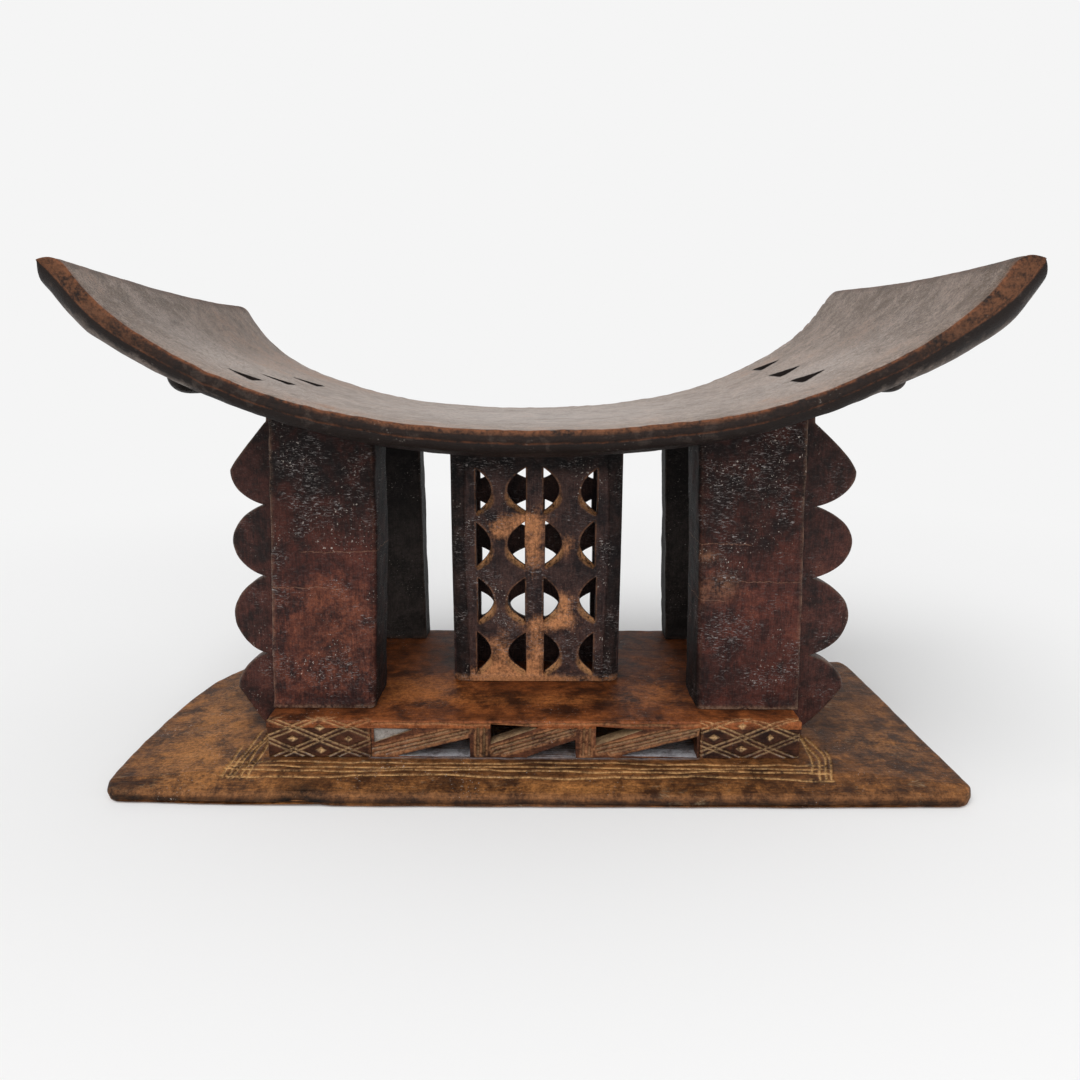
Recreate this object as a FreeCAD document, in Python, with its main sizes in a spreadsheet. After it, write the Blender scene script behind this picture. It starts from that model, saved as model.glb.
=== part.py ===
import FreeCAD, Part
import os

import Sketcher

# A carved wooden stool: a curved seat with upswept ends on four slab legs with scalloped
# outer fins and a pierced central column, standing on a low plinth and a broad base board.
# Millimetres, +Z up, +X along the seat, front towards -Y. The origin is on the floor,
# under the middle of the stool's bounding box.

os.makedirs("parts", exist_ok=True)
doc = FreeCAD.newDocument("carved_stool")
sheet = doc.addObject("Spreadsheet::Sheet", "sizes")

SIZES = [
    ("seat_half_length", 285), ("seat_depth", 290), ("seat_centre_top", 252),
    ("seat_rise", 112), ("seat_square_share", 0.46), ("seat_edge_thickness", 13),
    ("seat_end_thickening", 15), ("seat_belly", 14), ("seat_end_hollow", 3),
    ("seat_left_front_drop", 5.5), ("seat_left_back_drop", 19),
    ("seat_right_front_drop", 5.5), ("seat_right_back_drop", 0),
    ("seat_tip_round", 6), ("piercing_base", 20), ("piercing_height", 14),
    ("piercing_inner_edge", 179), ("left_piercing_first", -96), ("left_piercing_pitch", 57),
    ("right_piercing_first", -66), ("right_piercing_pitch", 74),
    ("grip_middle", 237), ("grip_width", 19), ("grip_drop", 12), ("grip_length", 165),
    ("base_half_length", 298), ("base_front", 142), ("base_back", 103),
    ("base_corner_inset", 12), ("base_front_round", 14), ("base_back_round", 32),
    ("base_edge_thickness", 9), ("base_crown", 5), ("base_flat_half_length", 214),
    ("base_flat_front", 113), ("base_flat_back_margin", 2),
    ("plinth_half_length", 194), ("plinth_front", 99), ("plinth_back", 99),
    ("plinth_height", 28.5), ("plinth_slab_thickness", 6), ("band_thickness", 12),
    ("band_top_margin", 1.5), ("band_bottom_margin", 1.5), ("band_bar_width", 8),
    ("band_post_width", 14), ("band_recess_depth", 3),
    ("leg_foot_outer", 194), ("leg_foot_inner", 118), ("leg_top_outer", 183),
    ("leg_top_inner", 110), ("leg_thickness", 48), ("leg_front", 78),
    ("back_leg_thickness", 26), ("back_left_foot_inner", 101), ("back_left_top_inner", 103),
    ("fin_setback", 16), ("fin_thickness", 16), ("fin_root", 5), ("fin_reach", 28),
    ("fin_top_drop", 12), ("back_fin_setback", 5),
    ("column_half_width", 66), ("column_half_depth", 26.5), ("column_wall", 9),
    ("hole_width", 13), ("hole_tall", 34), ("hole_pitch", 43.5), ("hole_sill", 6.5),
    ("hole_bar_half", 7.5), ("hole_outer_start", 33), ("hole_rows", 4),
    ("back_hole_tall", 22), ("back_hole_pitch", 39), ("back_hole_sill", 39.5),
]
for row, (alias, value) in enumerate(SIZES, 1):
    sheet.set(f"A{row}", alias)
    sheet.set(f"B{row}", str(value))
    sheet.setAlias(f"B{row}", alias)
doc.recompute()


def size(expression):
    """The number that an expression over the sheet's cells gives."""
    return float(sheet.evalExpression(expression))


# Expressions that several pieces share
BASE_TOP = "(sizes.base_edge_thickness + sizes.base_crown)"
PLINTH_TOP = f"({BASE_TOP} + sizes.plinth_height)"
SEAT_HALF_DEPTH = "(sizes.seat_depth / 2)"


def seat_top(across):
    """Expression for the height of the seat's upper face at a distance from its middle."""
    ratio = f"(({across}) / sizes.seat_half_length)"
    square = f"sizes.seat_square_share * {ratio} ^ 2"
    fourth = f"(1 - sizes.seat_square_share) * {ratio} ^ 4"
    return f"(sizes.seat_centre_top + sizes.seat_rise * ({square} + {fourth}))"


def seat_drop(across, along):
    """Expression for how far the carved seat lies under its formula. It grows towards each
    end, evenly from the front edge to the back edge, most at the back of the left end."""
    growth = f"(abs(({across}) / sizes.seat_half_length) ^ 1.5)"
    share = f"(({along}) / sizes.seat_depth + 0.5)"
    left, right = [f"(sizes.seat_{end}_front_drop * (1 - {share}) + "
                   f"sizes.seat_{end}_back_drop * {share})" for end in ("left", "right")]
    return f"({growth} * (({across}) < 0 ? {left} : {right}))"


def inside_seat(across):
    """Expression for a height inside the seat's thickness, where blanks end before the cut."""
    return f"({seat_top(across)} - sizes.seat_edge_thickness * 1.2)"


def under_seat(across, along):
    """Expression for the height of the seat's underside, which bellies down mid-depth."""
    ratio = f"(({across}) / sizes.seat_half_length)"
    edge = f"sizes.seat_edge_thickness + sizes.seat_end_thickening * {ratio} ^ 4"
    belly = f"sizes.seat_belly * (1 - (({along}) / {SEAT_HALF_DEPTH}) ^ 2)"
    return f"({seat_top(across)} - ({edge}) - {belly})"


# Sketch helpers


def sketch_on(body, name, role, offset="0"):
    """A sketch on one of the body's own origin planes, moved along its normal."""
    sketch = body.newObject("Sketcher::SketchObject", name)
    plane = next(item for item in body.Origin.OriginFeatures if item.Role == role)
    sketch.AttachmentSupport = [(plane, "")]
    sketch.MapMode = "FlatFace"
    sketch.setExpression("AttachmentOffset.Base.z", offset)
    return sketch


def pin(sketch, edge, end, across, up):
    """Holds one end of an edge at the place that two expressions give."""
    for kind, expression in (("DistanceX", across), ("DistanceY", up)):
        index = sketch.addConstraint(
            Sketcher.Constraint(kind, edge, end, size(expression)))
        sketch.setExpression(f"Constraints[{index}]", expression)


def outline(sketch, corners):
    """A closed outline: corners are pairs of expressions, and a corner with a third and
    fourth expression is reached by an arc through that place."""
    places = [tuple(size(item) for item in corner) for corner in corners]
    for index, place in enumerate(places):
        start = FreeCAD.Vector(*places[index - 1][:2], 0)
        finish = FreeCAD.Vector(*place[:2], 0)
        if len(place) == 2:
            edge = sketch.addGeometry(Part.LineSegment(start, finish), False)
            first, last = 1, 2
        else:
            middle = FreeCAD.Vector(*place[2:], 0)
            anticlockwise = (middle - start).cross(finish - middle).z > 0
            arc = (Part.Arc(start, middle, finish) if anticlockwise
                   else Part.Arc(finish, middle, start))
            first, last = (1, 2) if anticlockwise else (2, 1)
            edge = sketch.addGeometry(arc, False)
            radius = sketch.addConstraint(
                Sketcher.Constraint("Radius", edge, sketch.Geometry[edge].Radius))
            sketch.setExpression(f"Constraints[{radius}]", chord_radius(corners, index))
        pin(sketch, edge, last, *corners[index][:2])
        pin(sketch, edge, first, *corners[index - 1][:2])


def chord_radius(corners, index):
    """Expression for the radius of the arc through three places: the product of the sides
    over four times the triangle's area."""
    ax, ay = corners[index - 1][:2]
    bx, by, cx, cy = corners[index]

    def apart(x1, y1, x2, y2):
        return f"sqrt((({x1}) - ({x2})) ^ 2 + (({y1}) - ({y2})) ^ 2)"

    sides = [apart(ax, ay, bx, by), apart(bx, by, cx, cy), apart(cx, cy, ax, ay)]
    twice_area = (f"abs((({bx}) - ({ax})) * (({cy}) - ({ay}))"
                  f" - (({cx}) - ({ax})) * (({by}) - ({ay})))")
    return f"{sides[0]} * {sides[1]} * {sides[2]} / (2 * {twice_area})"


def upright_slab(name, corners, front, thickness):
    """A body: an outline in the X-Z plane, padded backwards from its front face."""
    body = doc.addObject("PartDesign::Body", name)
    sketch = sketch_on(body, f"{name}_outline", "XZ_Plane", f"-({front})")
    outline(sketch, corners)
    pad = body.newObject("PartDesign::Pad", f"{name}_pad")
    pad.Profile = sketch
    pad.Reversed = True
    pad.setExpression("Length", thickness)
    return body


def box(name, left, right, front, back, low, high):
    """A Part::Box between six expressions."""
    block = doc.addObject("Part::Box", name)
    block.setExpression("Length", f"({right}) - ({left})")
    block.setExpression("Width", f"({back}) - ({front})")
    block.setExpression("Height", f"({high}) - ({low})")
    block.setExpression("Placement.Base.x", left)
    block.setExpression("Placement.Base.y", front)
    block.setExpression("Placement.Base.z", low)
    return block


def node(item, label):
    """Marks an object as one finished piece of the stool."""
    item.Label = label
    finished.append(item)
    return item


finished = []


def cut_to_seat(blank, label):
    """The blank with everything above the seat's underside taken off."""
    cut = doc.addObject("Part::Cut", f"{label}_fitted")
    cut.Base = blank
    cut.Tool = plank
    return node(cut, label)


# Seat: a loft of closed profiles along its depth


def seat_profile(along):
    """The seat's closed profile at one place along its depth."""
    half_depth = size(SEAT_HALF_DEPTH)
    drawn_in = size("sizes.seat_end_hollow") * (1 - (along / half_depth) ** 2)
    reach = size("sizes.seat_half_length") - drawn_in
    tip = size("sizes.seat_tip_round")
    count = 13
    stations = [(reach - tip) * (2 * step / (count - 1) - 1) for step in range(count)]
    drops = [size(seat_drop(str(x), str(along))) for x in stations]
    above = [FreeCAD.Vector(x, along, size(seat_top(str(x))) - drop)
             for x, drop in zip(stations, drops)]
    below = [FreeCAD.Vector(x, along, size(under_seat(str(x), str(along))) - drop)
             for x, drop in zip(stations, drops)]
    upper = Part.BSplineCurve()
    upper.interpolate(above)
    lower = Part.BSplineCurve()
    lower.interpolate(below[::-1])
    ends = []
    for side, high, low in ((1, above[-1], below[-1]), (-1, above[0], below[0])):
        nose = FreeCAD.Vector(side * reach, along, (high.z + low.z) / 2)
        ends.append(Part.Arc(high, nose, low) if side > 0 else Part.Arc(low, nose, high))
    return Part.Wire([upper.toShape(), ends[0].toShape(), lower.toShape(), ends[1].toShape()])


def seat_piercings(side, first, pitch):
    """Three triangular prisms in a row through one end of the seat, points outwards."""
    inner = size("sizes.piercing_inner_edge")
    half = size("sizes.piercing_base / 2")
    point = size("sizes.piercing_height")
    prisms = []
    for index in range(3):
        middle = size(f"sizes.{first} + {index} * sizes.{pitch}")
        corners = [FreeCAD.Vector(side * inner, middle - half, 0),
                   FreeCAD.Vector(side * inner, middle + half, 0),
                   FreeCAD.Vector(side * (inner + point), middle, 0)]
        face = Part.Face(Part.makePolygon(corners + corners[:1]))
        height = size("sizes.seat_centre_top + sizes.seat_rise")
        prisms.append(face.extrude(FreeCAD.Vector(0, 0, height)))
    return prisms


def make_plank():
    """The seat before it is pierced, which the pieces under it are fitted to."""
    half_depth = size(SEAT_HALF_DEPTH)
    depth_shares = (-1, -0.55, 0, 0.55, 1)
    profiles = [seat_profile(share * half_depth) for share in depth_shares]
    plank = doc.addObject("Part::Feature", "seat_plank")
    plank.Shape = Part.makeLoft(profiles, True, False)
    return plank


def make_seat():
    shape = plank.Shape
    for side, name in ((-1, "left"), (1, "right")):
        for prism in seat_piercings(side, f"{name}_piercing_first", f"{name}_piercing_pitch"):
            shape = shape.cut(prism)
    piece = doc.addObject("Part::Feature", "pierced_seat")
    piece.Shape = shape.Solids[0]
    node(piece, "seat")


plank = make_plank()
make_seat()


# Base board: an even edge, and a top that rises a little to a flat field round the plinth


def board_wire(half_length, front, back, inset, front_round, back_round, height):
    """A board's outline: straight front and back, bowed ends and rounded corners."""
    corner = half_length - inset
    middle = (back - front) / 2

    def at(across, along):
        return FreeCAD.Vector(across, along, height)

    slant = 1 - 2 ** -0.5
    pieces = [Part.LineSegment(at(front_round - corner, -front), at(corner - front_round, -front)),
              Part.Arc(at(corner - front_round, -front),
                       at(corner - slant * front_round, slant * front_round - front),
                       at(corner, front_round - front)),
              Part.Arc(at(corner, front_round - front), at(half_length, middle),
                       at(corner, back - back_round)),
              Part.Arc(at(corner, back - back_round),
                       at(corner - slant * back_round, back - slant * back_round),
                       at(corner - back_round, back)),
              Part.LineSegment(at(corner - back_round, back), at(back_round - corner, back)),
              Part.Arc(at(back_round - corner, back),
                       at(slant * back_round - corner, back - slant * back_round),
                       at(-corner, back - back_round)),
              Part.Arc(at(-corner, back - back_round), at(-half_length, middle),
                       at(-corner, front_round - front)),
              Part.Arc(at(-corner, front_round - front),
                       at(slant * front_round - corner, slant * front_round - front),
                       at(front_round - corner, -front))]
    return Part.Wire([piece.toShape() for piece in pieces])


def make_base_board():
    edge = size("sizes.base_edge_thickness")
    top = size(BASE_TOP)
    rounds = (size("sizes.base_front_round"), size("sizes.base_back_round"))
    sides = (size("sizes.base_half_length"), size("sizes.base_front"), size("sizes.base_back"),
             size("sizes.base_corner_inset"))
    field = (size("sizes.base_flat_half_length"), size("sizes.base_flat_front"),
             size("sizes.plinth_back + sizes.base_flat_back_margin"),
             size("sizes.base_corner_inset / 2"))
    slab = Part.Face(board_wire(*sides, *rounds, 0)).extrude(FreeCAD.Vector(0, 0, edge))
    crown = Part.makeLoft([board_wire(*sides, *rounds, edge), board_wire(*field, *rounds, top)],
                          True, True)
    board = doc.addObject("Part::Feature", "base_board_blank")
    board.Shape = slab.fuse(crown).removeSplitter().Solids[0]
    node(board, "base_board")


make_base_board()


# Plinth: two solid end blocks, a slab over them and a carved band between them


def make_plinth():
    slab_low = f"({PLINTH_TOP} - sizes.plinth_slab_thickness)"
    ends = {"left": ("-sizes.plinth_half_length", "-sizes.leg_foot_inner"),
            "right": ("sizes.leg_foot_inner", "sizes.plinth_half_length")}
    for name, (left, right) in ends.items():
        label = f"plinth_{name}_block"
        block = box(f"{label}_box", left, right, "-sizes.plinth_front", "sizes.plinth_back",
                    BASE_TOP, slab_low)
        node(block, label)
    slab = box("plinth_top_box", "-sizes.plinth_half_length", "sizes.plinth_half_length",
               "-sizes.plinth_front", "sizes.plinth_back", slab_low, PLINTH_TOP)
    node(slab, "plinth_top")
    make_band("plinth_front_band", "-sizes.plinth_front", True)
    make_band("plinth_back_band", "(sizes.plinth_back - sizes.band_thickness)", False)


def band_triangles(unit, low, high):
    """The two triangles of one band unit, above and below its rising diagonal bar."""
    wide = "(2 * sizes.leg_foot_inner / 3)"
    left = f"({unit} * {wide} - sizes.leg_foot_inner + sizes.band_post_width / 2)"
    right = f"({left} + {wide} - sizes.band_post_width)"
    bar = "(sizes.band_bar_width)"
    run = f"({right} - {left})"
    above = [(left, f"{low} + {bar}"), (f"{right} - {run} / 3", high), (left, high)]
    below = [(f"{left} + {run} / 3", low), (right, low), (right, f"{high} - {bar}")]
    return above, below


def make_band(label, front, carved_front):
    """One pierced band of the plinth, between its end blocks and under its slab. The first
    upper triangle of the front band is only a shallow recess."""
    low = f"({BASE_TOP} + sizes.band_bottom_margin)"
    slab_low = f"({PLINTH_TOP} - sizes.plinth_slab_thickness)"
    high = f"({slab_low} - sizes.band_top_margin)"
    sides = [("-sizes.leg_foot_inner", BASE_TOP), ("sizes.leg_foot_inner", BASE_TOP),
             ("sizes.leg_foot_inner", slab_low), ("-sizes.leg_foot_inner", slab_low)]
    body = upright_slab(label + "_body", sides, front, "sizes.band_thickness")
    doc.recompute()
    for unit in range(3):
        for place, corners in zip(("upper", "lower"), band_triangles(unit, low, high)):
            name = f"{label}_{place}_{unit}"
            sketch = sketch_on(body, f"{name}_outline", "XZ_Plane", f"-({front})")
            outline(sketch, corners)
            hole = body.newObject("PartDesign::Pocket", name)
            hole.Profile = sketch
            shallow = carved_front and place == "upper" and unit == 0
            hole.setExpression("Length", "sizes.band_recess_depth" if shallow
                               else "sizes.band_thickness")
    node(body, label)


make_plinth()


# Legs and their scalloped outer fins


def leg_outer(height):
    """Expression for the leg's outer face, which leans in towards the seat."""
    rise = f"(sizes.seat_centre_top - {PLINTH_TOP})"
    lean = "(sizes.leg_foot_outer - sizes.leg_top_outer)"
    return f"(sizes.leg_foot_outer - {lean} * (({height}) - {PLINTH_TOP}) / {rise})"


def make_leg(side, name, front, thickness, inner):
    """A slab leg. Inner is the start of the names of its two inner sizes."""
    outer_high = inside_seat("sizes.leg_top_outer")
    inner_high = inside_seat(f"{inner}top_inner")
    corners = [(f"{side} * {inner}foot_inner", PLINTH_TOP),
               (f"{side} * sizes.leg_foot_outer", PLINTH_TOP),
               (f"{side} * {leg_outer(outer_high)}", outer_high),
               (f"{side} * {inner}top_inner", inner_high)]
    blank = upright_slab(f"{name}_blank", corners, front, thickness)
    cut_to_seat(blank, name)


def make_fin(side, name, front):
    """A thin plate against the leg's outer face with four lobes, from board to seat."""
    top = inside_seat(leg_outer("sizes.seat_centre_top"))
    lobe_top = f"({under_seat('sizes.leg_top_outer', '0')} - sizes.fin_top_drop)"
    lobe = f"(({lobe_top} - {BASE_TOP}) / 4)"
    root = "sizes.fin_root"

    def notch(index):
        height = f"({BASE_TOP} + {index} * {lobe})"
        return f"{side} * ({leg_outer(height)} + {root})", height

    corners = [(f"{side} * {leg_outer(top)}", top),
               (f"{side} * sizes.leg_foot_outer", PLINTH_TOP),
               (f"{side} * sizes.leg_foot_outer", BASE_TOP),
               notch(0)]
    for index in range(4):
        middle = f"({BASE_TOP} + ({index} + 0.5) * {lobe})"
        reach = f"{side} * ({leg_outer(middle)} + {root} + sizes.fin_reach)"
        corners.append((*notch(index + 1), reach, middle))
    across, _ = notch(4)
    corners.append((across, inside_seat(across)))
    blank = upright_slab(f"{name}_blank", corners, front, "sizes.fin_thickness")
    cut_to_seat(blank, name)


FRONT_LEG = "-sizes.leg_front"
BACK_LEG = "(sizes.plinth_back - sizes.back_leg_thickness)"
for end, face, thickness, setback in (
        ("front", FRONT_LEG, "sizes.leg_thickness", "sizes.fin_setback"),
        ("back", BACK_LEG, "sizes.back_leg_thickness", "sizes.back_fin_setback")):
    for side, hand in ((-1, "left"), (1, "right")):
        inner = "sizes.back_left_" if (end, hand) == ("back", "left") else "sizes.leg_"
        make_leg(side, f"{end}_{hand}_leg", face, thickness, inner)
        make_fin(side, f"{end}_{hand}_fin", f"({face} + {setback})")


# Column: four walls round a hollow, the front and back ones pierced with half discs


def column_holes(body, name, front, prefix):
    """A row of four half discs, flat sides to the middle bar and to the two edge bars,
    repeated up the wall. The back wall's are lower and shorter than the front wall's."""
    low = f"({PLINTH_TOP} + sizes.{prefix}hole_sill)"
    high = f"({low} + sizes.{prefix}hole_tall)"
    middle = f"({low} + sizes.{prefix}hole_tall / 2)"
    sketch = sketch_on(body, f"{name}_outline", "XZ_Plane", f"-({front})")
    outer_flat = "(sizes.hole_outer_start + sizes.hole_width)"
    for side in (-1, 1):
        inner_bulge = f"{side} * (sizes.hole_bar_half + sizes.hole_width)"
        half_disc(sketch, f"{side} * sizes.hole_bar_half", inner_bulge, low, middle, high)
        half_disc(sketch, f"{side} * {outer_flat}", f"{side} * sizes.hole_outer_start",
                  low, middle, high)
    row = body.newObject("PartDesign::Pocket", f"{name}_row")
    row.Profile = sketch
    row.setExpression("Length", "sizes.column_wall")
    doc.recompute()
    rows = body.newObject("PartDesign::LinearPattern", f"{name}_rows")
    rows.Originals = [row]
    rows.Direction = (sketch, ["V_Axis"])
    rows.setExpression("Length", f"sizes.{prefix}hole_pitch * (sizes.hole_rows - 1)")
    rows.setExpression("Occurrences", "sizes.hole_rows")
    body.Tip = rows


def half_disc(sketch, flat, bulge, low, middle, high):
    """A closed outline of one straight upright side and one arc that bulges to one place."""
    outline(sketch, [(flat, low), (flat, high, bulge, middle)])


def make_column():
    wall = "sizes.column_wall"
    width = "sizes.column_half_width"
    top = inside_seat(width)
    sides = [(f"-{width}", PLINTH_TOP), (width, PLINTH_TOP), (width, top), (f"-{width}", top)]
    faces = {"front": "-sizes.column_half_depth",
             "back": "(sizes.column_half_depth - sizes.column_wall)"}
    for name, front in faces.items():
        body = upright_slab(f"column_{name}_blank", sides, front, wall)
        doc.recompute()
        column_holes(body, f"column_{name}_holes", front, "back_" if name == "back" else "")
        cut_to_seat(body, f"column_{name}_wall")
    depth = "(sizes.column_half_depth - sizes.column_wall)"
    ends = {"left": (f"-{width}", f"{wall} - {width}"), "right": (f"{width} - {wall}", width)}
    for name, (left, right) in ends.items():
        block = box(f"column_{name}_blank", left, right, f"-{depth}", depth, PLINTH_TOP, top)
        cut_to_seat(block, f"column_{name}_wall")


make_column()


# Grips: a carved rib under each end of the seat


def make_grip(side, name):
    inner = "(sizes.grip_middle - sizes.grip_width / 2)"
    outer = "(sizes.grip_middle + sizes.grip_width / 2)"
    corners = []
    for across, face in ((inner, "low"), (outer, "low"), (outer, "high"), (inner, "high")):
        drop = seat_drop(f"{side} * {across}", "0")
        height = (f"({under_seat(across, '0')} - {drop} - sizes.grip_drop)"
                  if face == "low" else inside_seat(across))
        corners.append((f"{side} * {across}", height))
    blank = upright_slab(f"{name}_blank", corners, "-sizes.grip_length / 2",
                         "sizes.grip_length")
    cut_to_seat(blank, name)


make_grip(-1, "seat_grip_left")
make_grip(1, "seat_grip_right")

# Checks and export
doc.recompute()
for item in doc.Objects:
    if "Invalid" in item.State or "Error" in item.State:
        raise RuntimeError(f"{item.Label} failed: {item.State}")
for item in finished:
    if item.Shape.isNull() or not item.Shape.isValid() or len(item.Shape.Solids) != 1:
        raise RuntimeError(f"{item.Label} is not one valid solid")
for item in finished:
    item.Shape.exportStep(f"parts/{item.Label}.step")
    extent = item.Shape.optimalBoundingBox()
    print(item.Label, round(item.Shape.Volume / 1000, 1), "cm3",
          [round(value, 1) for value in (extent.XMin, extent.XMax, extent.YMin, extent.YMax,
                                         extent.ZMin, extent.ZMax)])
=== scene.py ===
import math

import bpy
import numpy as np
from mathutils import Matrix, Vector


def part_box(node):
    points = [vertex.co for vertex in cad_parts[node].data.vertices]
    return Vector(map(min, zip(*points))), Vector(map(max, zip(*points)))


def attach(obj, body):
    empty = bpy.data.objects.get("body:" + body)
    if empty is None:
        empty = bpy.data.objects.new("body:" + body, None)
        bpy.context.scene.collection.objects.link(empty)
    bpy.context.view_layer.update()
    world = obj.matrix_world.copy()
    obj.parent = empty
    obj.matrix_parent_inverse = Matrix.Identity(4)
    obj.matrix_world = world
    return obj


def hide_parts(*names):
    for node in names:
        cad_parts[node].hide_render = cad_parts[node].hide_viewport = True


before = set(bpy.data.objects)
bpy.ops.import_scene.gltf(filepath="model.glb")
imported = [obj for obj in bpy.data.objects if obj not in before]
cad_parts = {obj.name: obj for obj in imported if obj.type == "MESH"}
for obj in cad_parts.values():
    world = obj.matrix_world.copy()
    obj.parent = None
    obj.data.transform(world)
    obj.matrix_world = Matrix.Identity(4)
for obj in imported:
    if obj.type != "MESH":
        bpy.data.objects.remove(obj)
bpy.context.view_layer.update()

MM = 0.001

# Sizes in millimetres, of the carving that the frame's solids leave out
SEAT_CENTRE_TOP = 252
SEAT_SQUARE_SHARE = 0.46
SEAT_TIP_ROUNDING = 6
SEAT_BELLY = 14
SEAT_END_HOLLOW = 2
SEAT_REACH = (274.0, 276.5)
SEAT_NOSE_ABOVE = 12
SEAT_NOSE_BELOW = (6.0, 5.5)
SEAT_FACE_EASING = 1.6
SEAT_SLOPE_STEP = 7
PLINTH_ENDS = (-192, 189.5)
LEG_FOOT = 194
SLAB_STEPS = (44, 26)
GROOVES_END = 226
FIN_ROOT = 7.5

# Places along the seat with the height of its front face, and with that of its whole edge
SEAT_FACES = ((-285, 26), (-273, 20), (-262, 15), (-250, 12.5), (-239, 10.5), (-216, 9), (-150, 8),
              (0, 8.5), (150, 8), (200, 8), (235, 9.5), (256, 14), (267, 23), (277, 36), (285, 42))
SEAT_THICKNESSES = ((-277, 53), (-270, 49), (-262, 39), (-250, 26), (-239, 20.6), (-216, 17.2),
                    (-193, 14.8), (-170, 13.8), (-140, 13.5), (130, 13.3), (168, 14),
                    (191, 15.3), (213, 17.6), (224, 19.8), (235, 23), (245, 28), (256, 36),
                    (267, 55), (274, 70))
# Shares of the seat's half length, with the front and the back edge's rise over its curve
SEAT_TWIST = ((-1, 8, 6), (-0.96, 3.5, -5.5), (-0.92, -5.5, -15), (-0.85, -5.6, -18.5),
              (-0.75, -3, -14.5), (-0.65, -1.8, -9.5), (-0.5, -0.4, -6.2), (-0.25, 0, -2.2),
              (0, 0, -1.4), (0.3, 0, -0.4), (0.6, -2.6, -0.2), (0.72, -3.6, -0.6),
              (0.8, -5.6, -2), (0.88, -7.6, -1.6), (0.95, -5.2, 8), (1, 13, 13))
# The seat's triangles: the point in X and Y, the base in X, and the base's ends in Y
PIERCINGS = ((-196, -99, -182, -103.5, -86), (-191, -51, -175.5, -53, -36.5),
             (-188.5, 8, -172.5, 7, 27.5), (206.5, 80, 192.5, 72.5, 99.5),
             (198.5, -1, 184.5, -9.5, 19.5), (194.5, -67, 179.5, -77.5, -52.5))
# Shares of the board's depth from the front, with half its width at the left and the right
BASE_ENDS = ((0, 290, 292), (0.05, 294, 298), (0.12, 295.5, 298), (0.3, 297.5, 298),
             (0.45, 297.5, 298), (0.6, 295.5, 298), (0.76, 289.5, 298), (0.83, 283, 298),
             (0.88, 276, 298), (0.94, 267, 298), (0.97, 261, 296), (1, 251, 288))
# The board's incised lines: in front the place in Y, the sway and its phase, and at the
# sides the place in X and the back end in Y
FRONT_LINES = ((-105.6, 1.0, 0.7), (-111.4, 0.8, 1.9), (-115.8, 1.0, 3.1), (-122.2, 1.5, 4.2))
SIDE_LINES = ((-199.5, -44), (-203.5, -58), (-208, -46), (-212.5, -60), (-216.5, -84),
              (200, -52), (204.5, -60), (208.5, -66), (213, -86))
# The fins' lobes: the heights of the notches over the lowest lobe, how far each lobe stands
# out, and how high in it its tip is
FIN_NOTCHES = (79, 138.5, 191.5, 251)
FIN_REACHES = (24.0, 25.5, 25.5, 26.0)
FIN_TIPS = (0.56, 0.52, 0.5, 0.42)
# The column's half discs: the middle height and the height of each row, and the flat side,
# the bulging direction and the width of each column
FRONT_HOLE_ROWS = ((196, 34), (154.6, 35.5), (110.2, 36), (66.2, 34))
BACK_HOLE_ROWS = ((210, 22), (171, 22), (132, 22), (93, 22))
HOLE_COLUMNS = ((-46.2, 1, 11.5), (-8.8, -1, 13.5), (6.0, 1, 12.5), (45.6, -1, 11.8))
# The band's triangles, above and below each rising bar, and the bars, in X and Z
BAND_TRIANGLES = ((-115.6, 25.2, -115.6, 36.2, -86, 35.8), (-101, 14.8, -47, 14.4, -47, 29.2),
                  (-32.2, 24.4, -32.2, 39.4, 3.5, 37.6), (-8, 14, 29, 14, 28.6, 28),
                  (43.2, 23.4, 43, 38.4, 78, 36), (60, 15.6, 116, 14.4, 115.6, 30.6))
BAND_BARS = ((-117, 17.5, -48, 35.5), (-31, 18, 29, 37), (44, 18.5, 117, 37.5))
# A bar's incised lines: the height over its middle and the shares where each starts and ends
BAR_LINES = ((2.6, 0.0, 0.8), (-0.8, 0.02, 1.0), (-3.4, 0.14, 0.96))

# Worn, darker and scratched patches, and painted sheen: middle in X, middle in Z or Y, half
# widths, strength
SEAT_WARM = ((-235, 60, 40, 70, 0.8), (-190, 110, 60, 30, 0.6), (235, -20, 25, 40, 0.6),
             (215, 95, 40, 30, 0.5), (0, -128, 230, 12, 0.6))
# Painted sheen: the grey reflection on the seat's top, painted into its colour
SEAT_PAINTED_SHEEN = ((0, 0, 120, 120, 0.8), (-215, -70, 50, 50, 0.5), (200, -60, 50, 50, 0.5))
LEG_WARM = ((-150, 130, 30, 20, 0.4), (-140, 90, 26, 30, 0.4), (130, 140, 24, 24, 0.5))
LEG_RUBBED = ((118, 158, 9, 4, 0.7), (133, 136, 9, 8, 0.6), (116, 131, 9, 9, 0.5))
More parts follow.
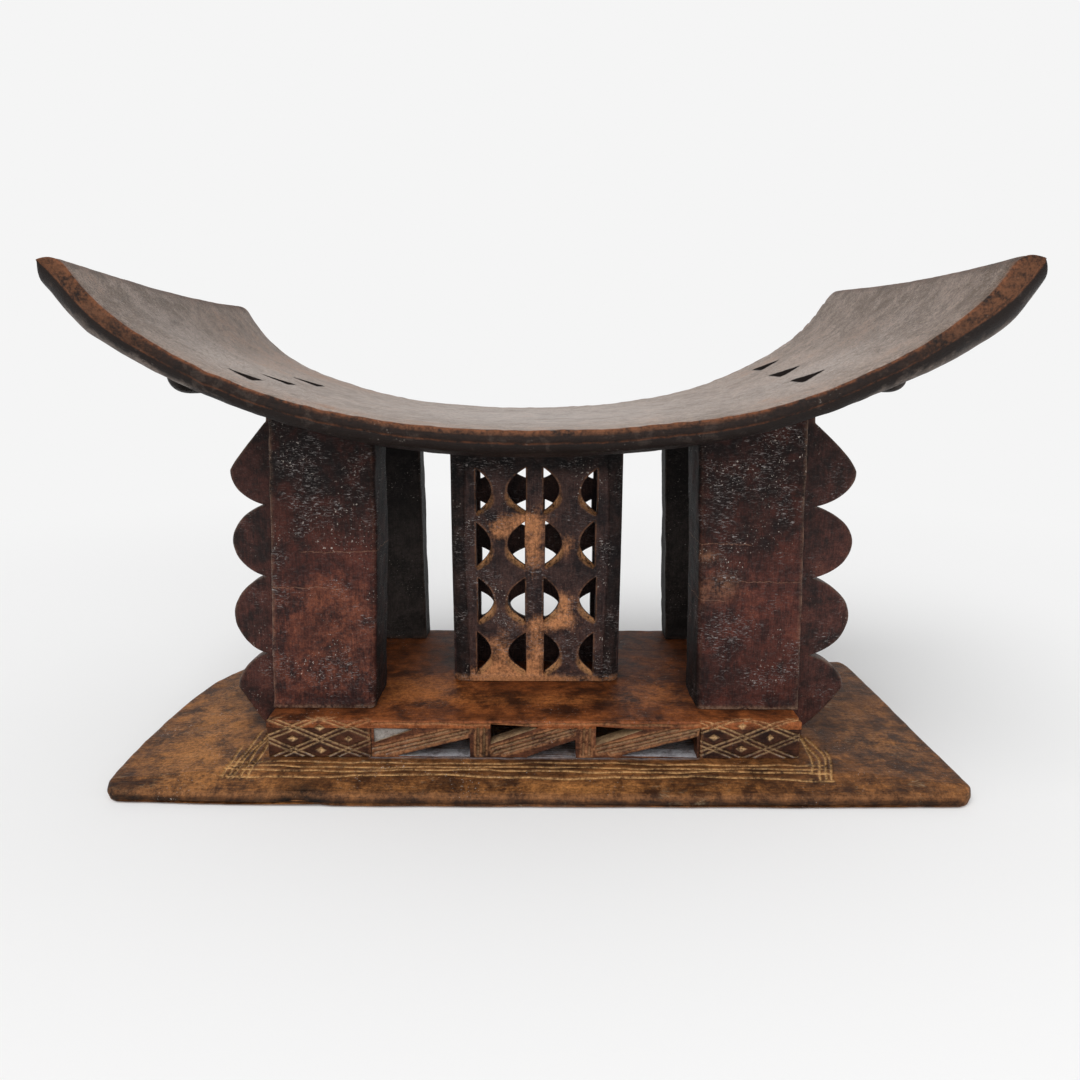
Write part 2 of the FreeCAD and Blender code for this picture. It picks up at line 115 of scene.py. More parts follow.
# Pale scratches on the legs, placed where they shine: scratches and painted sheen
LEG_SCRATCHES_AND_SHEEN = ((155, 215, 38, 22, 0.9), (135, 100, 16, 26, 0.8), (170, 70, 12, 10, 0.9),
            (-157, 195, 12, 20, 1.0), (-165, 228, 22, 12, 1.0), (-125, 220, 10, 20, 0.8),
            (-150, 70, 20, 16, 0.5))
COLUMN_WARM = ((-14, 172, 22, 8, 1.6), (-3, 152, 7, 24, 1.5), (-28, 163, 9, 8, 1.4),
               (23, 155, 8, 9, 1.1), (12, 92, 20, 9, 1.6), (21, 106, 8, 11, 1.3),
               (-28, 62, 15, 18, 1.5), (-25, 48, 42, 7, 1.5), (0, 62, 8, 26, 1.3))
COLUMN_PALE = ((-42, 178, 11, 12, 1.2), (-42, 132, 9, 6, 1.1), (52, 154, 8, 8, 1.1),
               (-25, 93, 10, 7, 0.8), (31, 193, 12, 9, 0.7), (45, 110, 10, 20, 0.5))
PLINTH_WARM = ((-90, -40, 34, 24, 1.4), (0, -62, 110, 12, 0.8), (90, -40, 30, 25, 0.6))
PLINTH_DARK = ((-150, -72, 46, 12, 0.5), (0, 60, 200, 50, 0.6), (60, -10, 30, 20, 0.4))
BASE_WARM = ((-250, -70, 36, 50, 0.9), (-262, 10, 26, 40, 0.8), (0, -133, 240, 7, 0.5),
             (260, -70, 34, 40, 0.6), (-230, -115, 40, 20, 0.6))
BASE_DARK = ((-236, 22, 20, 26, 0.5), (245, 20, 26, 30, 0.3), (228, -40, 14, 26, 0.3),
             (-215, -30, 14, 20, 0.6), (-290, -135, 20, 8, 0.5))


def corners_mm(node):
    """A frame node's lowest and highest corners in millimetres."""
    low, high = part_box(node)
    return np.array(low) / MM, np.array(high) / MM


SEAT_LOW, SEAT_HIGH = corners_mm("seat")
SEAT_HALF_LENGTH = SEAT_HIGH[0]
SEAT_HALF_DEPTH = SEAT_HIGH[1]
BASE_LOW, BASE_HIGH = corners_mm("base_board")
PLINTH_LOW, PLINTH_HIGH = corners_mm("plinth_top")
BASE_TOP = BASE_HIGH[2]
PLINTH_TOP = PLINTH_HIGH[2]


# Formulas that many pieces share


def ripple(places, size, seed):
    """Smooth unevenness between -1 and 1: a sum of sine waves in fixed directions, in
    three octaves, each half as long and half as high as the one before."""
    generator = np.random.default_rng(seed)
    total = np.zeros(places.shape[:-1])
    weight = 0.0
    for octave in range(3):
        length = size / 2 ** octave
        for _ in range(4):
            direction = generator.normal(size=3)
            direction /= np.linalg.norm(direction)
            phase = generator.uniform(0, 2 * math.pi)
            total += np.sin(places @ direction * 2 * math.pi / length + phase) / 2 ** octave
            weight += 0.6 / 2 ** octave
    return total / weight


def face_ripple(x, z, size, seed):
    """The unevenness of an upright face, the same at every depth."""
    return ripple(np.stack([x, x * 0, z], axis=-1), size, seed)


def ramp(value, low, high):
    """A smooth step from 0 at low to 1 at high."""
    share = np.clip((value - low) / (high - low), 0, 1)
    return share * share * (3 - 2 * share)


def bump_of(value, middle, width):
    """A smooth hump of height 1 at a place, fading to 0 a width away."""
    return np.exp(-((value - middle) / width) ** 2)


def smooth_table(x, table):
    """Values between the rows of a table of place and value, eased over 18 mm."""
    places, values = np.array(table, float).T
    shifts = range(-9, 10, 2)
    return sum(np.interp(x + shift, places, values) for shift in shifts) / len(shifts)


def distance_to_line(x, z, start, end):
    """The distance from each place to a straight stroke between two places."""
    along = np.array(end, float) - np.array(start, float)
    length = along @ along
    share = np.clip(((x - start[0]) * along[0] + (z - start[1]) * along[1]) / length, 0, 1)
    return np.hypot(x - start[0] - share * along[0], z - start[1] - share * along[1])


def spots(x, z, places):
    """The sum of soft oval spots, each given as middle, half widths and strength."""
    total = np.zeros(np.broadcast(x, z).shape)
    for middle_x, middle_z, wide, tall, strength in places:
        total = total + strength * np.exp(-((x - middle_x) / wide) ** 2
                                          - ((z - middle_z) / tall) ** 2)
    return total


# Mesh helpers


def place_object(name, data):
    """A new object in the scene that shows some data."""
    made = bpy.data.objects.new(name, data)
    bpy.context.scene.collection.objects.link(made)
    return made


def add_mesh(name, points, faces, fields):
    """An object from points in millimetres, faces and named numbers per point, its faces
    turned outwards: the signed volume of a closed surface is positive then."""
    mesh = bpy.data.meshes.new(name)
    mesh.from_pydata((points * MM).tolist(), [], faces)
    for field, values in fields.items():
        layer = mesh.attributes.new(field, "FLOAT", "POINT")
        layer.data.foreach_set("value", np.ascontiguousarray(values, dtype=np.float32).ravel())
    mesh.validate()
    return place_object(name, mesh)


def skin(name, rings, fields=None):
    """A closed surface through rings of points (rings, around, 3), ends closed by a fan to
    the middle of the first and last ring. Fields are (rings, around) arrays."""
    count, around = rings.shape[:2]
    points = rings.reshape(-1, 3)
    ends = np.array([rings[0].mean(axis=0), rings[-1].mean(axis=0)])
    row = np.arange(count - 1)[:, None] * around
    step = np.arange(around)[None, :]
    following = (step + 1) % around
    quads = np.stack([row + step, row + following, row + around + following,
                      row + around + step], axis=-1).reshape(-1, 4)
    span = np.arange(around)
    after = (span + 1) % around
    last = (count - 1) * around
    first_fan = np.stack([after, span, np.full(around, count * around)], axis=-1)
    last_fan = np.stack([last + span, last + after, np.full(around, count * around + 1)],
                        axis=-1)
    a, b, c = points[quads[:, 0]], points[quads[:, 1]], points[quads[:, 2]]
    volume = np.einsum("ij,ij->i", a, np.cross(b, c)).sum()
    faces = quads.tolist() + first_fan.tolist() + last_fan.tolist()
    if volume < 0:
        faces = [face[::-1] for face in faces]
    named = {}
    for field, values in (fields or {}).items():
        tips = [values[0].mean(), values[-1].mean()]
        named[field] = np.concatenate([values.reshape(-1), tips])
    return add_mesh(name, np.vstack([points, ends]), faces, named)


def prisms(name, outlines, axis=1):
    """One object of closed prisms: flat outlines of (n, 2) places, each carried from a
    start to an end along one axis. With axis 1 an outline lies in X and Z, with axis 2 in
    X and Y."""
    points, faces = [], []
    across = [item for item in range(3) if item != axis]
    for outline, start, end in outlines:
        count = len(outline)
        first = sum(len(part) for part in points)
        rings = np.zeros((2, count, 3))
        rings[:, :, across[0]] = outline[:, 0]
        rings[:, :, across[1]] = outline[:, 1]
        rings[0, :, axis], rings[1, :, axis] = start, end
        points.append(rings.reshape(-1, 3))
        area = np.sum(outline[:, 0] * np.roll(outline[:, 1], -1)
                      - np.roll(outline[:, 0], -1) * outline[:, 1])
        span = np.arange(count)
        after = (span + 1) % count
        sides = np.stack([span, after, after + count, span + count], axis=-1) + first
        made = [list(span + first)[::-1], list(span + count + first)] + sides.tolist()
        made = [[int(item) for item in face] for face in made]
        if area * (-1 if axis == 1 else 1) < 0:
            made = [face[::-1] for face in made]
        faces.extend(made)
    return add_mesh(name, np.vstack(points), faces, {})


def cut_with(piece, cutter):
    """Takes a cutter object of closed prisms out of a piece and keeps the result."""
    modifier = piece.modifiers.new("cut", "BOOLEAN")
    modifier.operation = "DIFFERENCE"
    modifier.solver = "MANIFOLD"
    modifier.object = cutter
    graph = bpy.context.evaluated_depsgraph_get()
    result = bpy.data.meshes.new_from_object(piece.evaluated_get(graph))
    piece.modifiers.clear()
    old = piece.data
    piece.data = result
    bpy.data.meshes.remove(old)
    mesh = cutter.data
    bpy.data.objects.remove(cutter)
    bpy.data.meshes.remove(mesh)


def finish_piece(piece, material, node, angle=38):
    """Smooth shading with crisp edges and a material; the piece hangs under the root and the frame
    node it stands for is hidden.
    """
    piece.data.polygons.foreach_set("use_smooth", [True] * len(piece.data.polygons))
    piece.data.set_sharp_from_angle(angle=math.radians(angle))
    piece.data.materials.clear()
    piece.data.materials.append(material)
    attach(piece, "root")
    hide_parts(node)
    return piece


def rounded_outline(corners, radii, arc_steps=7, edge_step=None):
    """A closed outline of (n, 2) places round a polygon, each corner an arc of its radius.
    Straight stretches are divided by a length, or else into the same number of steps
    whatever their length, so that the outlines of one slab match."""
    corners = np.array(corners, float)
    count = len(corners)
    arcs = []
    for index in range(count):
        here = corners[index]
        before = corners[index - 1] - here
        after = corners[(index + 1) % count] - here
        before /= np.linalg.norm(before)
        after /= np.linalg.norm(after)
        half = math.acos(np.clip(before @ after, -1, 1)) / 2
        set_back = radii[index] / math.tan(half)
        entry, leave = here + before * set_back, here + after * set_back
        middle = before + after
        middle /= np.linalg.norm(middle)
        centre = here + middle * radii[index] / math.sin(half)
        first, last = entry - centre, leave - centre
        sweep = math.pi - 2 * half
        share = np.linspace(0, 1, arc_steps)[:, None]
        turned = np.sin((1 - share) * sweep) * first + np.sin(share * sweep) * last
        arcs.append(centre + turned / math.sin(sweep))
    pieces = []
    for index in range(count):
        start, end = arcs[index][-1], arcs[(index + 1) % count][0]
        if edge_step:
            steps = max(2, int(np.linalg.norm(end - start) / edge_step))
        else:
            steps = SLAB_STEPS[index % 2]
        share = np.linspace(0, 1, steps + 1)[1:-1, None]
        pieces += [arcs[index], start + share * (end - start)]
    return np.vstack(pieces)


def relief(name, low, high, columns, rows, height, back=1):
    """A closed slab whose front face is a fine grid pushed back by a height function of X
    and Z, in millimetres: rings round the slab in X and Y, carried up in Z. The height
    function gives the depth and a dict of fields."""
    xs = np.linspace(low[0], high[0], columns)
    zs = np.linspace(low[2], high[2], rows)
    ease = 1.6
    x, z = np.meshgrid(xs, zs)
    sunk, fields = height(x, z)
    near = np.minimum(x - low[0], high[0] - x)
    rounding = ease * (1 - np.sqrt(np.clip(1 - (1 - np.clip(near / ease, 0, 1)) ** 2, 0, 1)))
    front = low[1] + np.maximum(sunk + rounding, 0)
    other = np.full_like(x, high[1])
    around = np.concatenate([np.stack([x, front, z], axis=-1),
                             np.stack([x, other, z], axis=-1)[:, ::-1]], axis=1)
    zeros = np.zeros_like(x)
    for value in fields.values():
        value[:, [0, -1]] = 0
    sided = {key: np.concatenate([value, zeros], axis=1) for key, value in fields.items()}
    if back < 0:
        around[..., 1] = low[1] + high[1] - around[..., 1]
    return skin(name, around, sided)


# Seat


def seat_curve(share):
    """The upper face's even curve, 0 in the middle and 1 at the tips: a parabola and a
    fourth power of the share of the half length."""
    return SEAT_SQUARE_SHARE * share ** 2 + (1 - SEAT_SQUARE_SHARE) * share ** 4


def seat_rise():
    """The rise from the middle of the seat to its tips, that its highest point asks for."""
    highest = 1 - SEAT_TIP_ROUNDING / SEAT_HALF_LENGTH
    return (SEAT_HIGH[2] - SEAT_CENTRE_TOP) / seat_curve(highest)


def seat_twist(x, y):
    """How far the carved seat lies over its even curve: by straight steps between the places
    of SEAT_TWIST, eased over 20 mm, and evenly from the front edge to the back one."""
    places, front, back = np.array(SEAT_TWIST, float).T
    places = places * SEAT_HALF_LENGTH
    share = (y / SEAT_HALF_DEPTH + 1) / 2
    shifts = np.linspace(-10, 10, 9)
    total = 0
    for shift in shifts:
        total = total + ((1 - share) * np.interp(x + shift, places, front)
                         + share * np.interp(x + shift, places, back)) / len(shifts)
    return total


def seat_top(x, y):
    """The height of the seat's upper face: its even curve and its twist."""
    formed = seat_curve(x / SEAT_HALF_LENGTH)
    return SEAT_CENTRE_TOP + seat_rise() * formed + seat_twist(x, y)


def seat_face(x):
    """The height of the flat part of the seat's front and back faces."""
    return smooth_table(x, SEAT_FACES)


def seat_edge_thickness(x):
    """The upright thickness at the seat's front and back edges, most at the tips."""
    return smooth_table(x, SEAT_THICKNESSES)


def seat_thickness(x, y):
    """The seat's upright thickness: its edge thickness and a belly."""
    share = np.clip(np.abs(x / SEAT_HALF_LENGTH), 0, 1)
    belly = SEAT_BELLY * (1 - (y / SEAT_HALF_DEPTH) ** 2) * (1 - 0.35 * share ** 6)
    return seat_edge_thickness(x) + belly


def under_seat(x, y):
    """The height of the seat's underside over a place."""
    return seat_top(x, y) - seat_thickness(x, y)


def seat_piercings():
    """Outlines of the three small triangles through each end of the seat, points outwards,
    a fifth larger than their rows in PIERCINGS say."""
    growth, radii = 1.2, (1.2, 1.2, 0.8)
    outlines = []
    for tip_x, tip_y, base_x, base_low, base_high in PIERCINGS:
        corners = np.array([(base_x, base_low), (base_x, base_high), (tip_x, tip_y)])
        corners = corners.mean(axis=0) + growth * (corners - corners.mean(axis=0))
        outlines.append(rounded_outline(corners, radii, 5, 4.0))
    return outlines


def darken_piercings(mesh):
    """Marks the walls of the seat's piercings as dark, painted shade inside the holes: the points
    on their outlines.
    """
    places = np.empty(len(mesh.vertices) * 3)
    mesh.vertices.foreach_get("co", places)
    x, y = places.reshape(-1, 3).T[:2] / MM
    nearest = np.full(len(x), 9.0)
    for outline in seat_piercings():
        for start, end in zip(outline, np.roll(outline, -1, axis=0)):
            nearest = np.minimum(nearest, distance_to_line(x, y, start, end))
    values = np.empty(len(x), dtype=np.float32)
    mesh.attributes["dark"].data.foreach_get("value", values)
    values[nearest < 0.15] = 1.3
    mesh.attributes["dark"].data.foreach_set("value", values)


def make_seat(material):
    """Rings round the seat's section, carried along its length. A ring is flat above, has
    an upright face at each edge that turns under in a quarter round, and a belly below. The
    thickness is laid off at right angles to the upper face, and each end closes to a nose
    whose profile is a rounded square's quarter: across^2.2 + along^2.2 = 1."""
    along, above, rim, under = 320, 110, 52, 70
    share = np.linspace(-1, 1, along)
    share = np.sign(share) * (1 - (1 - np.abs(share)) ** 1.5)
    falling = np.linspace(1, 0, rim + 2)[1:-1]
    depth = np.concatenate([np.linspace(-1, 1, above), np.full(rim, 1.0),
                            np.linspace(1, -1, under), np.full(rim, -1.0)])
    level = np.concatenate([np.ones(above), falling, np.zeros(under), falling[::-1]])
    s, d = np.meshgrid(share, depth, indexing="ij")
    lev = np.broadcast_to(level, s.shape)
    upper = lev > 0.99
    reach = np.where(s < 0, SEAT_REACH[0], SEAT_REACH[1]) - SEAT_END_HOLLOW * (1 - d ** 2)
    x = s * reach

    # The face's edges lean in a little and its foot turns under the seat
    edge_thick, face = seat_edge_thickness(x), seat_face(x)
    below = (1 - lev) * edge_thick
    down = below / face
    turned = np.clip((below - face) / np.maximum(edge_thick - face, 0.5), 0, 1)
    inset = SEAT_FACE_EASING * np.abs(2 * np.clip(down, 0, 1) - 1) ** 3
    radius = 1.1 * np.maximum(edge_thick - face, 0) + 1
    inset = inset + radius * (1 - np.sqrt(np.clip(1 - turned ** 2, 0, 1)))
    y = d * (SEAT_HALF_DEPTH - inset)

    # The depth of each point under the upper face, and the nose
    step = SEAT_SLOPE_STEP
    slope = (seat_top(x + step, y) - seat_top(x - step, y)) / (2 * step)
    steep = np.hypot(1, slope)
    left = (1 - np.abs(s)) * reach * steep
    thick = seat_thickness(x, y) / steep
    gone = 1 - np.clip(left / SEAT_NOSE_ABOVE, 0, 1)
    gone_below = 1 - np.clip(left / np.where(s < 0, *SEAT_NOSE_BELOW), 0, 1)
    closing = (1 - (0.99 * np.where(lev > 0.5, gone, gone_below)) ** 2.2) ** (1 / 2.2)
    drop = thick / 2 - (lev - 0.5) * thick * closing

    # The carver's unevenness, the eased rim and chips along it near the tips
    top = seat_top(x, y)
    places = np.stack([x, y, top], axis=-1)
    rough = 0.5 * ripple(places, 52, 3) + 0.3 * ripple(places, 17, 4)
    eased = ramp(np.abs(d), 0.97, 1.0) * np.where(upper, 0.9, 0)
    chips = np.clip(ripple(places, 9, 8) - 0.15, 0, 1) * bump_of(x, 245, 26) * (d > 0.985)
    eased = eased + 3.2 * chips * (lev > 0.9)
    px = x + slope / steep * drop
    pz = top - drop / steep - eased + rough * np.where(upper, 0.5, 1.2) - 0.5
    py = y + 0.6 * ripple(places, 60, 5) * np.where(np.abs(d) > 0.96, 1, 0) * -np.sign(d)
    rings = np.stack([np.clip(px, BASE_LOW[0] + 1, BASE_HIGH[0] - 1),
                      np.clip(py, -SEAT_HALF_DEPTH, SEAT_HALF_DEPTH),
                      np.clip(pz, SEAT_LOW[2], SEAT_HIGH[2])], axis=-1)

    side = ramp(np.abs(d), 0.985, 1.0)
    tip = ramp(np.abs(x), 200, 262)
    worn_edge = side * bump_of(down, 0.10, 0.13) + 0.5 * side * bump_of(down, 0.98, 0.06)
    on_face = ramp(down, 0.0, 0.12) * (1 - ramp(down, 1.0, 1.1))
    middle = 1 - ramp(np.abs(x), 60, 170)
    # The brown on the upper part of the rim's face is partly painted highlight on the rounded rim;
    # at the tips it is browner worn wood.
    brown = np.maximum(0.6 * middle * (1 - ramp(down, 0.3, 0.55)), 0.72 * tip)
    brown = np.maximum(brown, 0.04)
    # Below the rim's top and under the seat the dark field is soot and painted shade, less under
    # the tips, where the seat's grey painted sheen shows.
    sheen_under_tips = ramp(turned, 0.3, 1.0) * ramp(np.abs(x), 165, 225)
    fields = {
        "edge": np.clip(0.9 * worn_edge, 0, 1),
        "dark": (1.25 - 0.6 * sheen_under_tips) * ramp(down, 0.0, 0.10) + 0.3 * tip * upper + gone,
        "groove": np.maximum(on_face * brown, 0.8 * gone * (down < 1)),
        "warm": spots(x, y, SEAT_WARM) * (lev > 0.9),
        "pale": spots(x, y, SEAT_PAINTED_SHEEN) * (lev > 0.9),
    }
    piece = skin("seat_plank", rings, fields)
    lowest, highest = 150, 400
    holes = [(outline, lowest, highest) for outline in seat_piercings()]
    cut_with(piece, prisms("piercings", holes, axis=2))
    darken_piercings(piece.data)
    return finish_piece(piece, material, "seat", 50)


def make_grip(name, material):
    """A rib under the seat with a round lower face: half an ellipse across, carried along
    the seat's depth, proudest at its two ends, where it closes."""
    low, high = corners_mm(name)
    side = -1 if high[0] < 0 else 1
    outwards = 6
    middle = (low[0] + high[0]) / 2 + outwards * side
    half = 0.4 * (high[0] - low[0])
    length = (high[1] - low[1]) / 2
    proud = 13 if side < 0 else 9
    stations = np.linspace(-1, 1, 80)
    turn = np.linspace(0, math.pi, 28)
    rings = []
    for station in stations:
        close = math.sqrt(max(1 - abs(station) ** 10, 0.03))
        y = station * length
        x = middle + half * close * np.cos(turn)
        root = under_seat(x, np.full_like(x, y))
        drop = proud * close * (0.45 + 0.55 * station ** 2) * np.sin(turn) ** 0.8
        lower = np.column_stack([x, np.full_like(x, y), root - drop])
        upper = np.column_stack([x[::-1], np.full_like(x, y), root[::-1] + 3])
        rings.append(np.vstack([lower, upper]))
    rings = np.array(rings)
    rings[..., 2] = np.maximum(rings[..., 2], low[2] - 6)
    return finish_piece(skin(f"{name}_rib", rings), material, name)


# Base board


def base_half_width(y, left):
    """Half the board's width at a depth, from BASE_ENDS. The left end narrows earlier at
    the back. The front corners are rounded by the square of the distance into them."""
    share = np.clip((y - BASE_LOW[1]) / (BASE_HIGH[1] - BASE_LOW[1]), 0, 1)
    places, left_widths, right_widths = np.array(BASE_ENDS).T
    corner = 6 * np.clip(1 - share / 0.03, 0, 1) ** 2
    return np.interp(share, places, left_widths if left else right_widths) - corner


def groove_lines(x, y):
    """The distance in millimetres to the nearest of the incised lines that frame the
    plinth: four wavy ones in front, five at the left end and four at the right."""
    nearest = np.full(x.shape, 9.0)
    for place, sway, phase in FRONT_LINES:
        line = place + sway * np.sin(x / 31 + phase) + 0.5 * np.sin(x / 9 + 2 * phase)
        line = line - 2.2 * ramp(x, 60, 210)
        past = np.maximum(np.maximum(x - 204, -217 - x), 0)
        nearest = np.minimum(nearest, np.hypot(y - line, past * 0.5))
    for place, start in SIDE_LINES:
        line = place + 0.9 * np.sin(y / 17 + place) + 0.5 * np.sin(y / 7 + place)
        line = line - np.sign(place) * 3.5 * ramp(y, -95, -45) * (abs(place) > 202)
        line = line - 9 * ramp(-y, 92, 130) * (place > 0)
        past = np.maximum(np.maximum(y - start, -124.5 - y), 0)
        nearest = np.minimum(nearest, np.hypot(x - line, past * 0.6))
    return nearest


def make_base(material):
    """Sections across the board, carried from front to back: a crowned top, edges rounded
    over, a flat underside. The middle is drawn finely enough for the incised lines."""
    fine, coarse = 0.8, 3.2
    inner = np.concatenate([np.arange(-GROOVES_END, -LEG_FOOT, fine),
                            np.arange(-LEG_FOOT, LEG_FOOT, coarse),
                            np.arange(LEG_FOOT, GROOVES_END + 0.1, fine)])
    outer_share = np.linspace(0, 1, 26)[1:]
    below = 90
    turn = np.linspace(0, math.pi / 2, 9)[1:]
    low_y, high_y = BASE_LOW[1], BASE_HIGH[1]
    front_radius, back_radius, end_radius = 5.5, 6.0, 4.5
    front = low_y + front_radius * (1 - np.cos(np.linspace(0.1, math.pi / 2, 10)))
    back = high_y - back_radius * (1 - np.cos(np.linspace(math.pi / 2, 0.1, 10)))
    stations = np.concatenate([front, np.arange(low_y + 6.5, -129, 1.5),
                               np.arange(-129, -102, 0.55), np.arange(-101, high_y - 7, 3.0),
                               back])
    rows, edge_rows = [], []
    for y in stations:
        half_right = base_half_width(y, False)
        half_left = base_half_width(y, True)
        right = GROOVES_END + outer_share * (half_right - end_radius - GROOVES_END)
        left = -GROOVES_END - outer_share[::-1] * (half_left - end_radius - GROOVES_END)
        round_right = half_right - end_radius + end_radius * np.sin(turn)
        round_left = -(half_left - end_radius + end_radius * np.sin(turn))[::-1]
        top_x = np.concatenate([round_left, left, inner, right, round_right])
        fall = np.concatenate([(1 - np.cos(turn))[::-1], np.zeros(len(left) + len(inner)
                               + len(right)), 1 - np.cos(turn)])
        low_x = np.linspace(half_right - 1.5, -half_left + 1.5, below)
        rows.append(np.concatenate([top_x, low_x]))
        edge_rows.append(np.concatenate([fall, np.full(below, -1.0)]))
    x = np.array(rows)
    fall = np.array(edge_rows)
    y = np.broadcast_to(stations[:, None], x.shape).copy()
    under = fall < 0
    crown = np.maximum(2.4 * ramp(np.abs(x), 205, 300), 5.2 * ramp(-y, 112, 147))
    crown = crown + 1.5 * ramp(y, 96, 104)
    from_front = np.clip((y - low_y) / front_radius, 0, 1)
    from_back = np.clip((high_y - y) / back_radius, 0, 1)
    over = front_radius * (1 - np.sqrt(1 - (1 - from_front) ** 2))
    over = over + back_radius * (1 - np.sqrt(1 - (1 - from_back) ** 2))
    places = np.stack([x, y, np.zeros_like(x)], axis=-1)
    wave = 0.5 * ripple(places, 95, 11) + 0.32 * ripple(places, 27, 12)
    z = BASE_TOP - crown - over - end_radius * np.clip(fall, 0, 1) + wave - 0.7
    nearest = groove_lines(x, y)
    line = np.clip(1 - nearest / 1.15, 0, 1) * (fall == 0)
    z = z - 1.1 * line
    lift = 1.3 * (1 - from_front) + 1.3 * (1 - from_back)
    scoop = bump_of(x, -160, 13) * ramp(-y, 120, 140)
    z = np.where(under, lift + 2.4 * scoop, np.maximum(z, lift + 1.5))
    z = np.clip(z, 0, BASE_TOP)
    bow = 5.5 * np.abs(x / 290) ** 3.2 * np.where(x < 0, 1, 0.35) * ramp(-y, 60, 142)
    y = y + bow + 0.5 * ripple(places, 38, 13) * ramp(-y, 132, 142) + 2.5 * scoop * (z < 9)
    y = np.clip(y, low_y, high_y)
    face = ramp(over, 1.2, 4) + (fall > 0.4)
    fields = {
        "edge": np.clip(bump_of(over, 1.2, 1.2) * (from_front < 1) * 0.6, 0, 1),
        "groove": line * 1.2,
        "dark": np.clip(0.75 * face + 1.0 * scoop + spots(x, y, BASE_DARK), 0, 1) * ~under,
        "warm": spots(x, y, BASE_WARM),
        "pale": ramp(-np.abs(x), -119, -116) * ramp(-y, 60, 75) * ramp(y, -101, -97),
    }
    piece = skin("base_plank", np.stack([x, y, z], axis=-1), fields)
    return finish_piece(piece, material, "base_board", 60)


# Legs and fins


def edge_field(rings, low, high):
    """How near each point is to an upright corner of its slab, from 0 to 1."""
    outer = np.abs(rings[..., 0]).max(axis=1, keepdims=True) - np.abs(rings[..., 0])
    inner = np.abs(rings[..., 0]) - np.abs(rings[..., 0]).min(axis=1, keepdims=True)
    near_x = np.minimum(outer, inner)
    near_y = np.minimum(rings[..., 1] - low[1], high[1] - rings[..., 1])
    return np.exp(-(np.maximum(near_x, near_y) / 1.7) ** 2)


def make_leg(name, material, seed):
    """Rounded rectangles carried upwards, leaning with the leg's outer face. The inner
    front edge is soft and the outer one crisp."""
    low, high = corners_mm(name)
    side = -1 if high[0] < 0 else 1
    front = "front" in name
    foot_inner, top_inner = (101, 103) if name == "back_left_leg" else (118, 110.5)
    top_outer = 183 if side < 0 else 185.5
    levels = np.concatenate([[low[2]], low[2] + np.linspace(0.5, 5, 5),
                             np.linspace(low[2] + 6, high[2] + 16, 160)])
    rings = []
    for level in levels:
        share = (level - low[2]) / (SEAT_CENTRE_TOP - low[2])
        outer = LEG_FOOT + (top_outer - LEG_FOOT) * share
        inner = foot_inner + (top_inner - foot_inner) * share
        waist = 1.6 * math.sin(math.pi * min(share, 1)) * (1 if side < 0 else -0.6)
        inner = inner - waist * front
        xs = sorted((side * outer, side * inner))
        corners = [(xs[0], low[1]), (xs[1], low[1]), (xs[1], high[1]), (xs[0], high[1])]
        soft, crisp = 6.5, 1.6
        radii = [crisp, soft, 4, 3] if side < 0 else [soft, crisp, 3, 4]
        if not front:
            radii = [3, 3, 3, 3]
        outline = rounded_outline(corners, radii)
        rings.append(np.column_stack([outline, np.full(len(outline), level)]))
    rings = np.array(rings)
    on_face = ramp(-rings[..., 1], -low[1] - 7, -low[1] - 2.5)
    centre = np.array([rings[..., 0].mean(), rings[..., 1].mean()])
    rough = 0.55 * ripple(rings, 60, seed) + 0.3 * ripple(rings, 19, seed + 1)
    outward = rings[..., :2] - centre
    outward /= np.linalg.norm(outward, axis=-1)[..., None]
    rings[..., :2] += outward * (rough - 0.8)[..., None]
    flare = 1.6 * ramp(-rings[..., 2], -low[2] - 7, -low[2])
    rings[..., 1] -= flare * (rings[..., 1] < low[1] + 8)
    inmost = low[0] if side > 0 else high[0]
    rings[..., 0] = side * np.maximum(side * rings[..., 0], side * inmost)
    rings[..., 1] = np.clip(rings[..., 1], low[1], high[1])
    top = under_seat(rings[..., 0], rings[..., 1])
    rings[..., 2] = np.minimum(rings[..., 2], top + 3)
    x, z = rings[..., 0], rings[..., 2]
    foot = ramp(-z, -low[2] - 3.5, -low[2] - 1)
    behind = 0.7 * ramp(rings[..., 1], high[1] - 7, high[1] - 2.5) * (not front)
    warm = spots(x, z, LEG_WARM) + 0.45 * ramp(-z, -165, -110) * (side < 0)
    # Pale lines on the corners are wear and painted highlight, the line at the foot wear. The dark
    # field paints the sides near black as shade and darkens the legs towards the seat.
    fields = {
        "edge": np.maximum(edge_field(rings, low, high) * 0.8, 0.9 * foot * on_face),
        "warm": warm * front * on_face,
        "groove": spots(x, z, LEG_RUBBED) * front * on_face,
        "dark": np.clip(ramp(z, 120, 215) * 0.74 + 1 - np.maximum(on_face, behind) + 0.12
                        + 0.3 * ramp(-z, -115, -70) * (side > 0), 0, 1),
        "pale": (spots(x, z, LEG_SCRATCHES_AND_SHEEN) if front else np.full(x.shape, 0.35)) * on_face,
    }
    return finish_piece(skin(f"{name}_slab", rings, fields), material, name)


